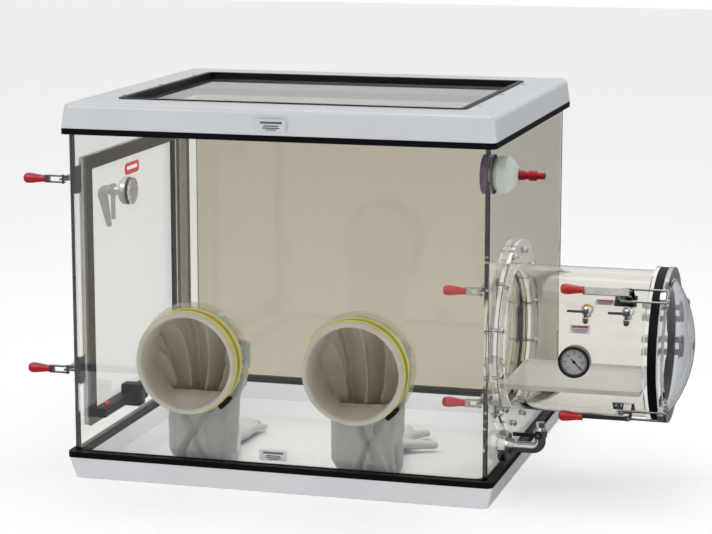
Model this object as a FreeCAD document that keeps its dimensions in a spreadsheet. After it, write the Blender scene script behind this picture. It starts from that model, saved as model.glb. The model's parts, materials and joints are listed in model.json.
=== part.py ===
import FreeCAD, Part
import os
import re

import Sketcher
from FreeCAD import Placement, Rotation, Vector

# Laboratory glove box: a clear acrylic chamber on a formed base pan, with two
# gloved ports in front, a side door on the left and a round transfer chamber
# on the right.  +X is right, +Y is back, +Z is up.  The origin is the centre
# of the footprint of the clear walls, on the underside of the base pan.

doc = FreeCAD.newDocument("glove_box")
sheet = doc.addObject("Spreadsheet::Sheet", "Sizes")

SIZES = {
    # clear chamber
    "chamber_width": 889, "chamber_depth": 767, "wall": 9.5, "fit": 0.3,
    # base pan and its seal
    "base_height": 46.5, "base_lip": 14, "pan_floor": 7, "base_draft": 14,
    "corner_round": 14, "seal_height": 12.3, "seal_groove": 6, "seal_lap": 5,
    # roof
    "wall_top": 733.5, "roof_seal_height": 12.5, "roof_lip": 15.5, "cap_height": 52, "cap_skin": 4,
    "cap_draft": 7, "shoulder": 13,
    "window_width": 750, "window_depth": 582, "window_recess": 16, "window_lip": 9,
    "window_channel": 3.5, "window_ledge": 14, "pane": 5, "window_round": 16,
    "screw_head": 4.5, "screw_proud": 1.6, "screw_inset": 11,
    # glove ports
    "port_spacing": 178, "port_height": 274, "port_bore": 98, "collar_wall": 5,
    "collar_out": 52, "collar_in": 26, "collar_foot": 14, "collar_foot_thick": 6,
    "cuff_thick": 3, "cuff_length": 44, "band_length": 13, "band_thick": 1.4, "band_from_wall": 20,
    "worm_length": 26, "worm_width": 14, "worm_height": 11, "glove_skin": 2.4,
    "glove_reach_left": 290, "glove_reach_right": 320, "glove_drift_left": -8, "glove_drift_right": -10,
    # side door
    "door_opening_front": -282, "door_opening_back": 230, "door_opening_low": 122,
    "door_opening_top": 647, "door_seal_back": 258,
    "door_front": -310, "door_back": 290, "door_low": 95, "door_top": 675,
    "door_seal": 6, "door_thick": 9.5,
    "hinge_gap": 10, "knuckle": 4.5, "hinge_pin": 2, "pin_fit": 0.05, "leaf": 2, "leaf_width": 26,
    # hold-down clamps
    "side_clamp_y": -349, "side_clamp_low": 227, "side_clamp_high": 634,
    "clamp_pivot": 26, "clamp_arm_back": 6, "clamp_handle_back": -10, "clamp_reach": 55,
    "clamp_pin": 2.5, "side_grip_start": 64, "inner_grip_start": 54,
    "grip_neck": 6.5, "grip_round": 10, "grip_long": 48,
    # transfer chamber
    "tube_y": -130, "tube_z": 306, "tube_outer": 152.5, "tube_bore": 140, "tube_length": 305,
    "ring_outer": 205, "ring_thick": 12.7, "bolt_circle": 182, "bolt_shank": 3.5, "bolt_head": 7,
    "bolt_head_thick": 5, "bolt_count": 12,
    "inner_seal_outer": 154, "inner_seal_bore": 141, "inner_seal_thick": 5, "inner_door_round": 166,
    "inner_clamp_y": -283, "inner_clamp_level": 6.5, "inner_clamp_rise": 116.5,
    "flange_outer": 161, "flange_thick": 9, "end_seal_outer": 160, "end_seal_thick": 18,
    "dome_rim": 161, "dome_rim_thick": 9, "dome_bulge": 46, "dome_skin": 5,
    # pull latches on the tube
    "latch_angle": 45, "latch_x": 262, "latch_rise": 23.5, "latch_pin": 3, "hook_back": 16,
    "hook_wire": 2.5, "hook_half": 15, "latch_strap": 94, "keeper_reach": 76.4,
    # vacuum gauge
    "gauge_x": 161, "gauge_drop": 8, "gauge_round": 32, "gauge_deep": 27, "gauge_face": 0.8,
    "needle_long": 22,
    "valve_reach": 21, "valve_angle": 32, "valve_a_x": 177, "valve_b_x": 260,
    # tray
    "tray_width": 221, "tray_long": 282, "tray_drop": 84, "tray_skin": 3, "tray_edge": 9,
    # services
    "gas_y": -325, "gas_z": 675, "gas_disc": 40, "gas_body": 37, "hose_end": 7,
    "drain_y": -250, "drain_z": 99, "drain_boss": 32, "drain_pipe": 11.5,
    "purge_y": -25, "purge_z": 563, "purge_lean": 25, "purge_boss": 31,
    "strip_front": -285, "strip_back": -130, "strip_low": 108, "strip_high": 128, "strip_out": 22,
    "socket_front": -141, "socket_deep": 26, "socket_low": 101, "socket_high": 150, "socket_out": 46,
    "rocker_y": -252,
}
for row, (alias, value) in enumerate(SIZES.items(), start=1):
    sheet.set(f"A{row}", "'" + alias)
    sheet.set(f"B{row}", str(value))
    sheet.setAlias(f"B{row}", alias)
doc.recompute()

parts = []


# ---------------------------------------------------------------- helpers
def formula(text):
    """Point each dimension name in a formula at its cell of the sheet."""
    return re.sub(r"[a-z][a-z0-9_]+", lambda m: "Sizes." + m.group() if m.group() in SIZES else m.group(),
                  str(text))


def amount(text):
    """The present value of a formula, in millimetres or degrees."""
    return float(sheet.evalExpression(formula(text)))


def bind(item, **properties):
    for name, text in properties.items():
        item.setExpression(name, formula(text))
    return item


TURNS = {
    "z": Rotation(),
    "-z": Rotation(Vector(1, 0, 0), 180),
    "x": Rotation(Vector(0, 1, 0), 90),
    "-x": Rotation(Vector(0, 1, 0), -90),
    "y": Rotation(Vector(1, 0, 0), -90),
    "-y": Rotation(Vector(1, 0, 0), 90),
}


def put(item, at=(0, 0, 0), turn=None):
    """Turn an object, then bind the three coordinates of its place."""
    if turn is not None:
        item.Placement = Placement(Vector(), turn)
    for axis, text in zip("xyz", at):
        item.setExpression(f"Placement.Base.{axis}", formula(text))
    return item


def block(x0, x1, y0, y1, z0, z1):
    """A box between two corners, each coordinate a formula."""
    item = doc.addObject("Part::Box", "Block")
    bind(item, Length=f"({x1}) - ({x0})", Width=f"({y1}) - ({y0})", Height=f"({z1}) - ({z0})")
    return put(item, (x0, y0, z0))


def rod(radius, length, at, along="z"):
    item = doc.addObject("Part::Cylinder", "Rod")
    bind(item, Radius=radius, Height=length)
    return put(item, at, TURNS[along])


def cone(radius_start, radius_end, length, at, along="z"):
    item = doc.addObject("Part::Cone", "Cone")
    bind(item, Radius1=radius_start, Radius2=radius_end, Height=length)
    return put(item, at, TURNS[along])


def elbow(bend, radius, at, turn):
    """A quarter of a torus: from +X round to +Y about the torus's own Z."""
    item = doc.addObject("Part::Torus", "Elbow")
    bind(item, Radius1=bend, Radius2=radius)
    item.Angle3 = 90
    return put(item, at, turn)


def join(*items):
    if len(items) == 1:
        return items[0]
    item = doc.addObject("Part::MultiFuse", "Join")
    item.Shapes = list(items)
    item.Refine = True
    return item


def cut(base, *tools):
    item = doc.addObject("Part::Cut", "Cut")
    item.Base = base
    item.Tool = join(*tools)
    return item


def together(*items):
    """Separate solids kept as one sub-part."""
    item = doc.addObject("Part::Compound", "Group")
    item.Links = list(items)
    return item


def rounded(item, radius, chosen):
    """Fillet the edges of an object that a test picks out."""
    doc.recompute()
    fillet = doc.addObject("Part::Fillet", "Fillet")
    fillet.Base = item
    size = amount(radius)
    fillet.Edges = [(number, size, size) for number, edge in enumerate(item.Shape.Edges, start=1)
                    if chosen(edge)]
    return fillet


def runs_along(direction):
    """A test for straight edges parallel to a direction."""
    def chosen(edge):
        if edge.Curve.TypeId != "Part::GeomLine":
            return False
        return abs(abs(edge.Curve.Direction.dot(direction)) - 1) < 1e-6
    return chosen


def sub_part(item, label):
    item.Label = label
    parts.append(item)
    return item


def plane_of(body, role):
    return next(feature for feature in body.Origin.OriginFeatures if feature.Role == role)


def new_sketch(body, role="XZ_Plane"):
    sketch = body.newObject("Sketcher::SketchObject", "Profile")
    sketch.AttachmentSupport = (plane_of(body, role), [""])
    sketch.MapMode = "FlatFace"
    return sketch


def fix_point(sketch, geometry, point, x, y):
    for kind, text in (("DistanceX", x), ("DistanceY", y)):
        number = sketch.addConstraint(Sketcher.Constraint(kind, -1, 1, geometry, point, amount(text)))
        sketch.setExpression(f"Constraints[{number}]", formula(text))


def outline(sketch, corners):
    """A closed outline; every corner is held by its two coordinates."""
    places = [Vector(amount(x), amount(y), 0) for x, y in corners]
    count = len(places)
    for index in range(count):
        sketch.addGeometry(Part.LineSegment(places[index], places[(index + 1) % count]), False)
    for index, (x, y) in enumerate(corners):
        sketch.addConstraint(Sketcher.Constraint("Coincident", index, 2, (index + 1) % count, 1))
        fix_point(sketch, index, 1, x, y)


def circle(sketch, x, y, radius):
    centre = Vector(amount(x), amount(y), 0)
    number = sketch.addGeometry(Part.Circle(centre, Vector(0, 0, 1), amount(radius)), False)
    fix_point(sketch, number, 3, x, y)
    held = sketch.addConstraint(Sketcher.Constraint("Radius", number, amount(radius)))
    sketch.setExpression(f"Constraints[{held}]", formula(radius))


def turned(profile, at, along="z"):
    """A body of revolution; the profile is (radius, height) pairs."""
    body = doc.addObject("PartDesign::Body", "Turned")
    sketch = new_sketch(body)
    outline(sketch, profile)
    spin = body.newObject("PartDesign::Revolution", "Spin")
    spin.Profile = sketch
    spin.ReferenceAxis = (sketch, ["V_Axis"])
    spin.Angle = 360
    return put(body, at, TURNS[along])


def sheet_panel(role, corners, thickness, at, round_holes=(), cutout=None):
    """A flat panel padded from a sketch, with round holes and one cut-out."""
    body = doc.addObject("PartDesign::Body", "Panel")
    sketch = new_sketch(body, role)
    outline(sketch, corners)
    pad = body.newObject("PartDesign::Pad", "Pad")
    pad.Profile = sketch
    pad.setExpression("Length", formula(thickness))
    pad.Midplane = True
    doc.recompute()
    before = pad.Shape.Volume
    openings = [("circle", hole) for hole in round_holes]
    if cutout:
        openings.append(("outline", cutout))
    for kind, hole in openings:
        hole_sketch = new_sketch(body, role)
        if kind == "circle":
            circle(hole_sketch, *hole)
        else:
            outline(hole_sketch, hole)
        pocket = body.newObject("PartDesign::Pocket", "Opening")
        pocket.Profile = hole_sketch
        pocket.Type = "ThroughAll"
        pocket.Midplane = True
        doc.recompute()
        if not pocket.Shape.Volume < before:
            raise RuntimeError("an opening in a panel cuts nothing")
        before = pocket.Shape.Volume
    return put(body, at)


def frame_of(x0, x1, y0, y1, z0, z1, border):
    """A rectangular ring with the same border all round."""
    inner = block(f"({x0}) + ({border})", f"({x1}) - ({border})", f"({y0}) + ({border})",
                  f"({y1}) - ({border})", f"({z0}) - 1", f"({z1}) + 1")
    return cut(block(x0, x1, y0, y1, z0, z1), inner)


VERTICAL = runs_along(Vector(0, 0, 1))
HALF_W = "chamber_width / 2"
HALF_D = "chamber_depth / 2"


# ---------------------------------------------------------------- base and roof
def base_and_roof():
    """Base pan, its seal and the roof seal; the formed roof cap is returned."""
    body = doc.addObject("PartDesign::Body", "Pan")
    rim_x = f"({HALF_W} + base_lip)"
    rim_y = f"({HALF_D} + base_lip)"
    sketch = new_sketch(body, "XY_Plane")
    outline(sketch, [(f"-{rim_x}", f"-{rim_y}"), (rim_x, f"-{rim_y}"), (rim_x, rim_y), (f"-{rim_x}", rim_y)])
    pad = body.newObject("PartDesign::Pad", "Rim")
    pad.Profile = sketch
    pad.setExpression("Length", formula("base_height"))
    pad.setExpression("TaperAngle", formula("-base_draft"))
    pad.Reversed = True
    well_x = f"({HALF_W} - wall - seal_lap)"
    well_y = f"({HALF_D} - wall - seal_lap)"
    sketch = new_sketch(body, "XY_Plane")
    outline(sketch, [(f"-{well_x}", f"-{well_y}"), (well_x, f"-{well_y}"), (well_x, well_y),
                     (f"-{well_x}", well_y)])
    doc.recompute()
    before = pad.Shape.Volume
    well = body.newObject("PartDesign::Pocket", "Well")
    well.Profile = sketch
    well.setExpression("Length", formula("base_height - pan_floor"))
    well.setExpression("TaperAngle", formula("-base_draft / 2"))
    doc.recompute()
    if not well.Shape.Volume < 0.5 * before:
        raise RuntimeError("the well of the base pan is not cut")
    put(body, (0, 0, "base_height"))
    doc.recompute()
    slanted = [number for number, edge in enumerate(well.Shape.Edges, start=1)
               if edge.Vertexes[0].Z != edge.Vertexes[1].Z]
    soft = body.newObject("PartDesign::Fillet", "Corners")
    soft.Base = (well, [f"Edge{number}" for number in slanted])
    soft.setExpression("Radius", formula("corner_round"))
    sub_part(body, "base_pan")

    walls = frame_of(f"-{HALF_W} - fit", f"{HALF_W} + fit", f"-{HALF_D} - fit", f"{HALF_D} + fit",
                     "base_height + seal_groove", "base_height + seal_height + 1", "wall + 2 * fit")
    strip = frame_of(f"-{HALF_W} - base_lip - 1", f"{HALF_W} + base_lip + 1", f"-{HALF_D} - base_lip - 1",
                     f"{HALF_D} + base_lip + 1", "base_height", "base_height + seal_height",
                     "base_lip + wall + seal_lap + 1")
    sub_part(cut(rounded(strip, "corner_round", VERTICAL), walls), "base_seal")

    top = "wall_top + roof_seal_height"
    walls = frame_of(f"-{HALF_W} - fit", f"{HALF_W} + fit", f"-{HALF_D} - fit", f"{HALF_D} + fit",
                     "wall_top - 1", "wall_top + seal_groove", "wall + 2 * fit")
    strip = frame_of(f"-{HALF_W} - roof_lip", f"{HALF_W} + roof_lip", f"-{HALF_D} - roof_lip",
                     f"{HALF_D} + roof_lip", "wall_top", top, "roof_lip + wall + seal_lap")
    sub_part(cut(rounded(strip, "corner_round", VERTICAL), walls), "roof_seal")

    shell = doc.addObject("PartDesign::Body", "Cap")
    solid = None
    for name, inset, deep in (("Outside", "0.5", "cap_height"), ("Inside", "0.5 + cap_skin",
                                                                "cap_height - cap_skin")):
        sketch = new_sketch(shell, "XY_Plane")
        half_x = f"({HALF_W} + roof_lip - ({inset}))"
        half_y = f"({HALF_D} + roof_lip - ({inset}))"
        outline(sketch, [(f"-{half_x}", f"-{half_y}"), (half_x, f"-{half_y}"), (half_x, half_y),
                         (f"-{half_x}", half_y)])
        if solid is None:
            solid = shell.newObject("PartDesign::Pad", name)
        else:
            before = solid.Shape.Volume
            solid = shell.newObject("PartDesign::Pocket", name)
            solid.Reversed = True
        solid.Profile = sketch
        solid.setExpression("Length", formula(deep))
        solid.setExpression("TaperAngle", formula("-cap_draft"))
        doc.recompute()
        if name == "Outside":
            picked = [number for number, edge in enumerate(solid.Shape.Edges, start=1)
                      if edge.BoundBox.ZMax > 1]
            solid_base = solid
            solid = shell.newObject("PartDesign::Fillet", "Shoulder")
            solid.Base = (solid_base, [f"Edge{number}" for number in picked])
            solid.setExpression("Radius", formula("shoulder"))
            doc.recompute()
    if not solid.Shape.Volume < 0.5 * before:
        raise RuntimeError("the inside of the roof cap is not cut")
    put(shell, (0, 0, top))
    hole = block("-window_width / 2 + window_lip", "window_width / 2 - window_lip",
                 "-window_depth / 2 + window_lip", "window_depth / 2 - window_lip", top,
                 f"{top} + cap_height + 5")
    return cut(shell, hole)


def roof_window(cap):
    """Sunk channel frame, its clear pane, the screws round it and the drilled cap."""
    top = "(wall_top + roof_seal_height + cap_height)"
    lip = rounded(frame_of("-window_width / 2", "window_width / 2", "-window_depth / 2", "window_depth / 2",
                           f"{top}", f"{top} + 2", "window_lip + window_channel"), "window_round",
                  lambda edge: VERTICAL(edge) and abs(edge.CenterOfMass.x) > amount("window_width / 2 - 1"))
    side = frame_of("-window_width / 2 + window_lip + fit", "window_width / 2 - window_lip - fit",
                    "-window_depth / 2 + window_lip + fit", "window_depth / 2 - window_lip - fit",
                    f"{top} - window_recess", f"{top} + 2", "window_channel")
    ledge = frame_of("-window_width / 2 + window_lip + fit", "window_width / 2 - window_lip - fit",
                     "-window_depth / 2 + window_lip + fit", "window_depth / 2 - window_lip - fit",
                     f"{top} - window_recess", f"{top} - window_recess + 2", "window_ledge")
    sub_part(join(lip, side, ledge), "window_frame")
    inset = "window_lip + window_channel + 2 * fit"
    sub_part(block(f"-window_width / 2 + {inset}", f"window_width / 2 - ({inset})",
                   f"-window_depth / 2 + {inset}", f"window_depth / 2 - ({inset})",
                   f"{top} - window_recess + 2", f"{top} - window_recess + 2 + pane"), "window_pane")
    places = []
    for share in (-0.31, -0.103, 0.103, 0.31):
        for side_sign in ("-", ""):
            places.append((f"{share} * window_width", f"{side_sign}(window_depth / 2 + screw_inset)"))
    for share in (-0.38, 0, 0.38):
        for side_sign in ("-", ""):
            places.append((f"{side_sign}(window_width / 2 + screw_inset)", f"{share} * window_depth"))
    heads = [turned([(0, -3), (1.8, -3), (1.8, 0), ("screw_head", 0), ("screw_head", "screw_proud / 2"),
                     ("screw_head * 0.6", "screw_proud"), (0, "screw_proud")], (x, y, f"{top}"))
             for x, y in places]
    holes = [rod(1.9, 12, (x, y, f"{top} - 8")) for x, y in places]
    sub_part(together(*heads), "window_screws")
    sub_part(cut(cap, *holes), "roof_cap")


# ---------------------------------------------------------------- clear walls
def clear_walls():
    """Clear walls, butted at the corners, standing in the two seals.

    The right wall is returned, still to be drilled for the chamber's bolts.
    """
    low = "(base_height + seal_groove + fit)"
    high = "(wall_top + seal_groove - fit)"
    across = f"({HALF_W})"
    front = [(f"-{across}", low), (across, low), (across, high), (f"-{across}", high)]
    ports = [("-port_spacing", "port_height", "port_bore + collar_wall + fit"),
             ("port_spacing", "port_height", "port_bore + collar_wall + fit")]
    sub_part(sheet_panel("XZ_Plane", front, "wall", (0, f"-{HALF_D} + wall / 2", 0), ports), "front_wall")
    sub_part(sheet_panel("XZ_Plane", front, "wall", (0, f"{HALF_D} - wall / 2", 0)), "back_wall")
    deep = f"({HALF_D} - wall - 0.1)"
    side = [(f"-{deep}", low), (deep, low), (deep, high), (f"-{deep}", high)]
    doorway = [("door_opening_front", "door_opening_low"), ("door_opening_back", "door_opening_low"),
               ("door_opening_back", "door_opening_top"), ("door_opening_front", "door_opening_top")]
    sub_part(sheet_panel("YZ_Plane", side, "wall", (f"-{HALF_W} + wall / 2", 0, 0), (), doorway),
             "left_wall")
    holes = [("tube_y", "tube_z", "tube_bore"), ("gas_y", "gas_z", "20 + fit"),
             ("drain_y", "drain_z", "drain_pipe + fit")]
    return sheet_panel("YZ_Plane", side, "wall", (f"{HALF_W} - wall / 2", 0, 0), holes)


# ---------------------------------------------------------------- glove ports
def glove_ports():
    """Collars, folded cuffs, worm clamps and the two long gloves."""
    face = f"(-{HALF_D})"
    outer = "(port_bore + collar_wall)"
    inner_face = "wall"
    collars, cuffs, clamps = [], [], []
    for side in ("-", ""):
        x = f"{side}port_spacing"
        profile = [("port_bore", "-wall - collar_in"), (outer, "-wall - collar_in"),
                   (outer, f"-{inner_face} - collar_foot_thick"),
                   (f"{outer} + collar_foot", f"-{inner_face} - collar_foot_thick"),
                   (f"{outer} + collar_foot", f"-{inner_face}"), (outer, f"-{inner_face}"),
                   (outer, "collar_out"), ("port_bore", "collar_out")]
        collars.append(turned(profile, (x, face, "port_height"), "-y"))
        skin = f"({outer} + cuff_thick)"
        cuffs.append(turned([("port_bore - cuff_thick", "collar_out - 14"),
                             ("port_bore", "collar_out - 14"), ("port_bore", "collar_out"),
                             (outer, "collar_out"), (outer, "collar_out - cuff_length"),
                             (skin, "collar_out - cuff_length"), (skin, "collar_out + cuff_thick * 0.4"),
                             (f"{outer} + cuff_thick * 0.4", "collar_out + cuff_thick"),
                             ("port_bore - cuff_thick * 0.4", "collar_out + cuff_thick"),
                             ("port_bore - cuff_thick", "collar_out + cuff_thick * 0.4")],
                            (x, face, "port_height"), "-y"))
        rim = f"({skin} + band_thick)"
        band = turned([(skin, "band_from_wall"), (rim, "band_from_wall"),
                       (rim, "band_from_wall + band_length"), (skin, "band_from_wall + band_length")],
                      (x, face, "port_height"), "-y")
        worm = block("-worm_length / 2", "worm_length / 2", f"{rim} - 1", f"{rim} + worm_height",
                     "band_from_wall + band_length / 2 - worm_width / 2",
                     "band_from_wall + band_length / 2 + worm_width / 2")
        screw = rod(4, "worm_length + 8", ("-worm_length / 2 - 8", f"{rim} + worm_height / 2",
                                           "band_from_wall + band_length / 2"), "x")
        housing = join(worm, screw)
        put(housing, (x, face, "port_height"),
            Rotation(Vector(0, 1, 0), -42).multiply(Rotation(Vector(1, 0, 0), 90)).multiply(
                Rotation(Vector(0, 0, 1), 180)))
        clamps.append(join(band, housing))
    sub_part(together(*collars), "port_collars")
    sub_part(together(*cuffs), "glove_cuffs")
    sub_part(together(*clamps), "cuff_clamps")
    for name, side in (("left", "-"), ("right", "")):
        sub_part(glove(name, side), f"glove_{name}")


def glove(name, side):
    """One long glove: open at the port, drooping to the floor, its hand lying farther back."""
    x = f"{side}port_spacing"
    solids = []
    for skin, top, low in (("0", 10, "port_height - 30"), ("glove_skin", 4, 118)):
        mouth = rod(f"port_bore - cuff_thick - 1 - {skin}", 96, (x, f"-{HALF_D} - 36", "port_height"), "y")
        end = doc.addObject("Part::Ellipsoid", "Droop")
        bind(end, Radius1=f"44 - {skin}", Radius2=f"port_bore - cuff_thick - 1 - {skin}")
        end.Radius3 = 0
        put(end, (x, f"-{HALF_D} + 60", "port_height"), TURNS["y"])
        rings = []
        for share, wide, deep in ((0, 82, 38), (0.4, 80, 38), (0.8, 72, 36), (1, 60, 30)):
            ring = doc.addObject("Part::Ellipse", "Ring")
            bind(ring, MajorRadius=f"{wide} - {skin}", MinorRadius=f"{deep} - {skin}")
            level = f"port_height + {top} - {share} * ({top} + {low})"
            rings.append(put(ring, (x, f"-{HALF_D} + 76", level)))
        sleeve = doc.addObject("Part::Loft", "Sleeve")
        sleeve.Sections = rings
        sleeve.Solid = True
        solids.append([mouth, end, sleeve])
    rings = []
    for share, wide, high in ((0, 62, 21), (0.5, 50, 20), (1, 36, 17)):
        ring = doc.addObject("Part::Ellipse", "Ring")
        bind(ring, MajorRadius=wide, MinorRadius=high)
        along = f"-{HALF_D} + 84 + {share} * glove_reach_{name}"
        rings.append(put(ring, (f"{x} + {share} * glove_drift_{name}", along, "pan_floor + 22"), TURNS["y"]))
    forearm = doc.addObject("Part::Loft", "Forearm")
    forearm.Sections = rings
    forearm.Solid = True
    hand = doc.addObject("Part::Ellipsoid", "Hand")
    bind(hand, Radius1=18, Radius2=46, Radius3=78)
    put(hand, (f"{x} + glove_drift_{name}", f"-{HALF_D} + 140 + glove_reach_{name}", "pan_floor + 19"))
    return cut(join(*solids[0], forearm, hand), join(*solids[1]))


# ---------------------------------------------------------------- hinges and clamps
def strap_hinge(x, y, low, high, knuckles, leaf_x, fixed_root):
    """Fixed and moving halves of a knuckle hinge on a vertical pin.

    x, y is the pin.  The moving leaf runs toward -Y and the fixed leaf toward
    +Y; both lie in the plane that starts at leaf_x.  fixed_root is a block
    that carries the fixed leaf.
    """
    span = f"(({high}) - ({low})) / {knuckles}"
    halves = {0: [], 1: []}
    for index in range(knuckles):
        z = f"({low}) + {index} * {span} + fit"
        tall = f"{span} - 2 * fit"
        barrel = cut(rod("knuckle", tall, (x, y, z)), rod("hinge_pin + pin_fit", "2000", (x, y, 0)))
        leaf_start = f"({y}) - knuckle - 1" if index % 2 else f"({y}) + 1.2"
        leaf_end = f"({y}) - 2.6" if index % 2 else f"({y}) + knuckle + 1"
        tab = block(leaf_x, f"({leaf_x}) + leaf", leaf_start, leaf_end, z, f"{z} + {tall}")
        tab = cut(tab, rod("hinge_pin + pin_fit", "2000", (x, y, 0)))
        halves[index % 2] += [barrel, tab]
    plate_far = f"({leaf_x}) + leaf"
    moving = join(block(leaf_x, plate_far, f"({y}) - leaf_width", f"({y}) - knuckle - 1", low, high),
                  *halves[1])
    fixed = join(block(leaf_x, plate_far, f"({y}) + knuckle + 1", f"({y}) + leaf_width", low, high),
                 *halves[0])
    pin = rod("hinge_pin", f"({high}) - ({low}) + 4", (x, y, f"({low}) - 2"))
    return together(join(fixed, fixed_root), pin), moving


def grip_body(at):
    """The swelling grip at the end of a clamp handle or latch lever, pointing to -X."""
    return turned([(0, 0), ("grip_neck", 0), ("grip_round", "grip_long * 0.72"),
                   ("grip_round", "grip_long * 0.86"), ("grip_round * 0.6", "grip_long"),
                   (0, "grip_long")], at, "-x")


def clamp_pieces(x, y, z, rise, grip_start):
    """Base, arm and handle of one hold-down clamp standing out toward -X.

    x is the face it is bolted to, rise is the height of the door's outer face
    above that face, grip_start is where the grip begins, and the arm points
    toward +Y.
    """
    def span(u0, u1, v0, v1, z0, z1):
        return block(f"({x}) - ({u1})", f"({x}) - ({u0})", f"({y}) + ({v0})", f"({y}) + ({v1})",
                     f"({z}) + ({z0})", f"({z}) + ({z1})")

    def upright(radius, u, v, z0, z1):
        return rod(radius, f"({z1}) - ({z0})", (f"({x}) - ({u})", f"({y}) + ({v})", f"({z}) + ({z0})"))

    def outward(radius, u0, u1, v, dz):
        at = (f"({x}) - ({u0})", f"({y}) + ({v})", f"({z}) + ({dz})")
        return rod(radius, f"({u1}) - ({u0})", at, "-x")

    pivot, arm_v, handle_v, reach = "clamp_pivot", "clamp_arm_back", "clamp_handle_back", "clamp_reach"
    foot = span(0, 3, -22, 14, -29, 29)
    web = span(2, f"{pivot} + 6", f"{handle_v} - 7", f"{arm_v} + 7", -1.5, 1.5)
    bolts = [outward(4.2, 3, 7, v, dz) for v in (-15, 7) for dz in (-21, 21)]
    pins = [upright("clamp_pin", pivot, arm_v, -5.5, 5.5),
            upright("clamp_pin", pivot, handle_v, -9.5, 9.5)]
    base = join(foot, web, *bolts, *pins)

    bars, cheeks = [], []
    for low, high in ((-4.6, -2), (2, 4.6)):
        bar = join(span(f"{pivot} - 5", f"{pivot} + 5", arm_v, reach, low, high),
                   upright(5, pivot, arm_v, low, high))
        bars.append(cut(bar, upright("clamp_pin + pin_fit", pivot, arm_v, -6, 6)))
    block_end = span(f"{pivot} - 5", f"{pivot} + 5", f"{reach} - 9", f"{reach} + 7", -4.6, 4.6)
    spindle = outward(3, f"{rise} + fit + 5", f"{pivot} + 11", reach, 0)
    nut = outward(5.5, f"{pivot} + 5", f"{pivot} + 9", reach, 0)
    pad = outward(8, f"{rise} + fit", f"{rise} + fit + 6", reach, 0)
    arm = join(*bars, block_end, spindle, nut, pad)

    for low, high in ((-7.8, -5.2), (5.2, 7.8)):
        cheek = join(span(pivot, f"{grip_start} - 3", f"{handle_v} - 5", f"{handle_v} + 5", low, high),
                     upright(5, pivot, handle_v, low, high))
        cheeks.append(cut(cheek, upright("clamp_pin + pin_fit", pivot, handle_v, -9, 9)))
    bridge = span(f"{grip_start} - 8", f"{grip_start} + 1", f"{handle_v} - 5", f"{handle_v} + 5", -7.8, 7.8)
    grip = grip_body((f"({x}) - {grip_start}", f"({y}) + {handle_v}", z))
    handle = join(*cheeks, bridge, grip)
    return base, arm, handle


# ---------------------------------------------------------------- side door
def side_door():
    """Seal, clear door, long hinge, purge valve and two hold-down clamps."""
    face = f"(-{HALF_W})"
    back = f"({face} - door_seal - fit - door_thick)"
    window = block(f"{face} - 20", face, "door_opening_front", "door_opening_back",
                   "door_opening_low", "door_opening_top")
    seal = block(f"{face} - door_seal", face, "door_front", "door_seal_back", "door_low", "door_top")
    sub_part(cut(seal, window), "side_door_seal")

    purge_hole = rod("10.3", 30, (f"{back} - 5", "purge_y", "purge_z"), "x")
    door = block(back, f"{back} + door_thick", "door_front", "door_back - fit", "door_low", "door_top")
    sub_part(cut(rounded(door, 8, runs_along(Vector(1, 0, 0))), purge_hole), "side_door")

    pin_y = "(door_back + hinge_gap)"
    root = block(f"{back} - leaf", face, f"{pin_y} + knuckle + 1.5", f"{pin_y} + leaf_width",
                 "door_low + 20", "door_top - 20")
    fixed, moving = strap_hinge(f"{back} - knuckle", pin_y, "door_low + 20", "door_top - 20", 9,
                                f"{back} - leaf", root)
    sub_part(fixed, "side_hinge_fixed")
    sub_part(moving, "side_hinge_leaf")

    at = (back, "purge_y", "purge_z")
    boss = turned([(0, 0), ("purge_boss", 0), ("purge_boss", 10), ("purge_boss - 5", 16), (14, 16),
                   (14, 22), (10.5, 22), (10.5, 52), (0, 52)], at, "-x")
    stem = rod(10, "door_thick + 3", (back, "purge_y", "purge_z"), "x")
    washer = rod(16, 3, (f"{back} + door_thick", "purge_y", "purge_z"), "x")
    bend = elbow(13, 10.5, (-52, 0, -13),
                 Rotation(Vector(1, 0, 0), 90).multiply(Rotation(Vector(0, 0, 1), 90)))
    nozzle = cone(11.5, 6, 84, (-65, 0, -13), "-z")
    spout = put(join(bend, nozzle), at, Rotation(Vector(1, 0, 0), amount("purge_lean")))
    sub_part(join(boss, stem, washer, spout), "purge_valve")
    collar = cut(rod(14.5, 9, (f"{back} - 33", "purge_y", "purge_z"), "-x"),
                 rod(10.55, 60, (f"{back}", "purge_y", "purge_z"), "-x"))
    blade = cut(block(f"{back} - 41", f"{back} - 35", "purge_y - 6", "purge_y + 6",
                      "purge_z - 66", "purge_z"),
                rod(12, 60, (f"{back}", "purge_y", "purge_z"), "-x"))
    sub_part(join(collar, blade), "purge_lever")

    bases = []
    for place in ("low", "high"):
        base, arm, handle = clamp_pieces(face, "side_clamp_y", f"side_clamp_{place}",
                                         "door_seal + fit + door_thick", "side_grip_start")
        bases.append(base)
        sub_part(arm, f"side_clamp_arm_{place}")
        sub_part(handle, f"side_clamp_handle_{place}")
    sub_part(together(*bases), "side_clamp_bases")


# ---------------------------------------------------------------- transfer chamber
def tube_frame(item, angle="0"):
    """Carry an object built about the tube's axis to its place on the wall."""
    turn = Rotation(Vector(1, 0, 0), -amount(angle))
    return put(item, (HALF_W, "tube_y", "tube_z"), turn)


def ring(outer, bore, x0, x1):
    return turned([(bore, x0), (outer, x0), (outer, x1), (bore, x1)], (HALF_W, "tube_y", "tube_z"), "x")


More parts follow.
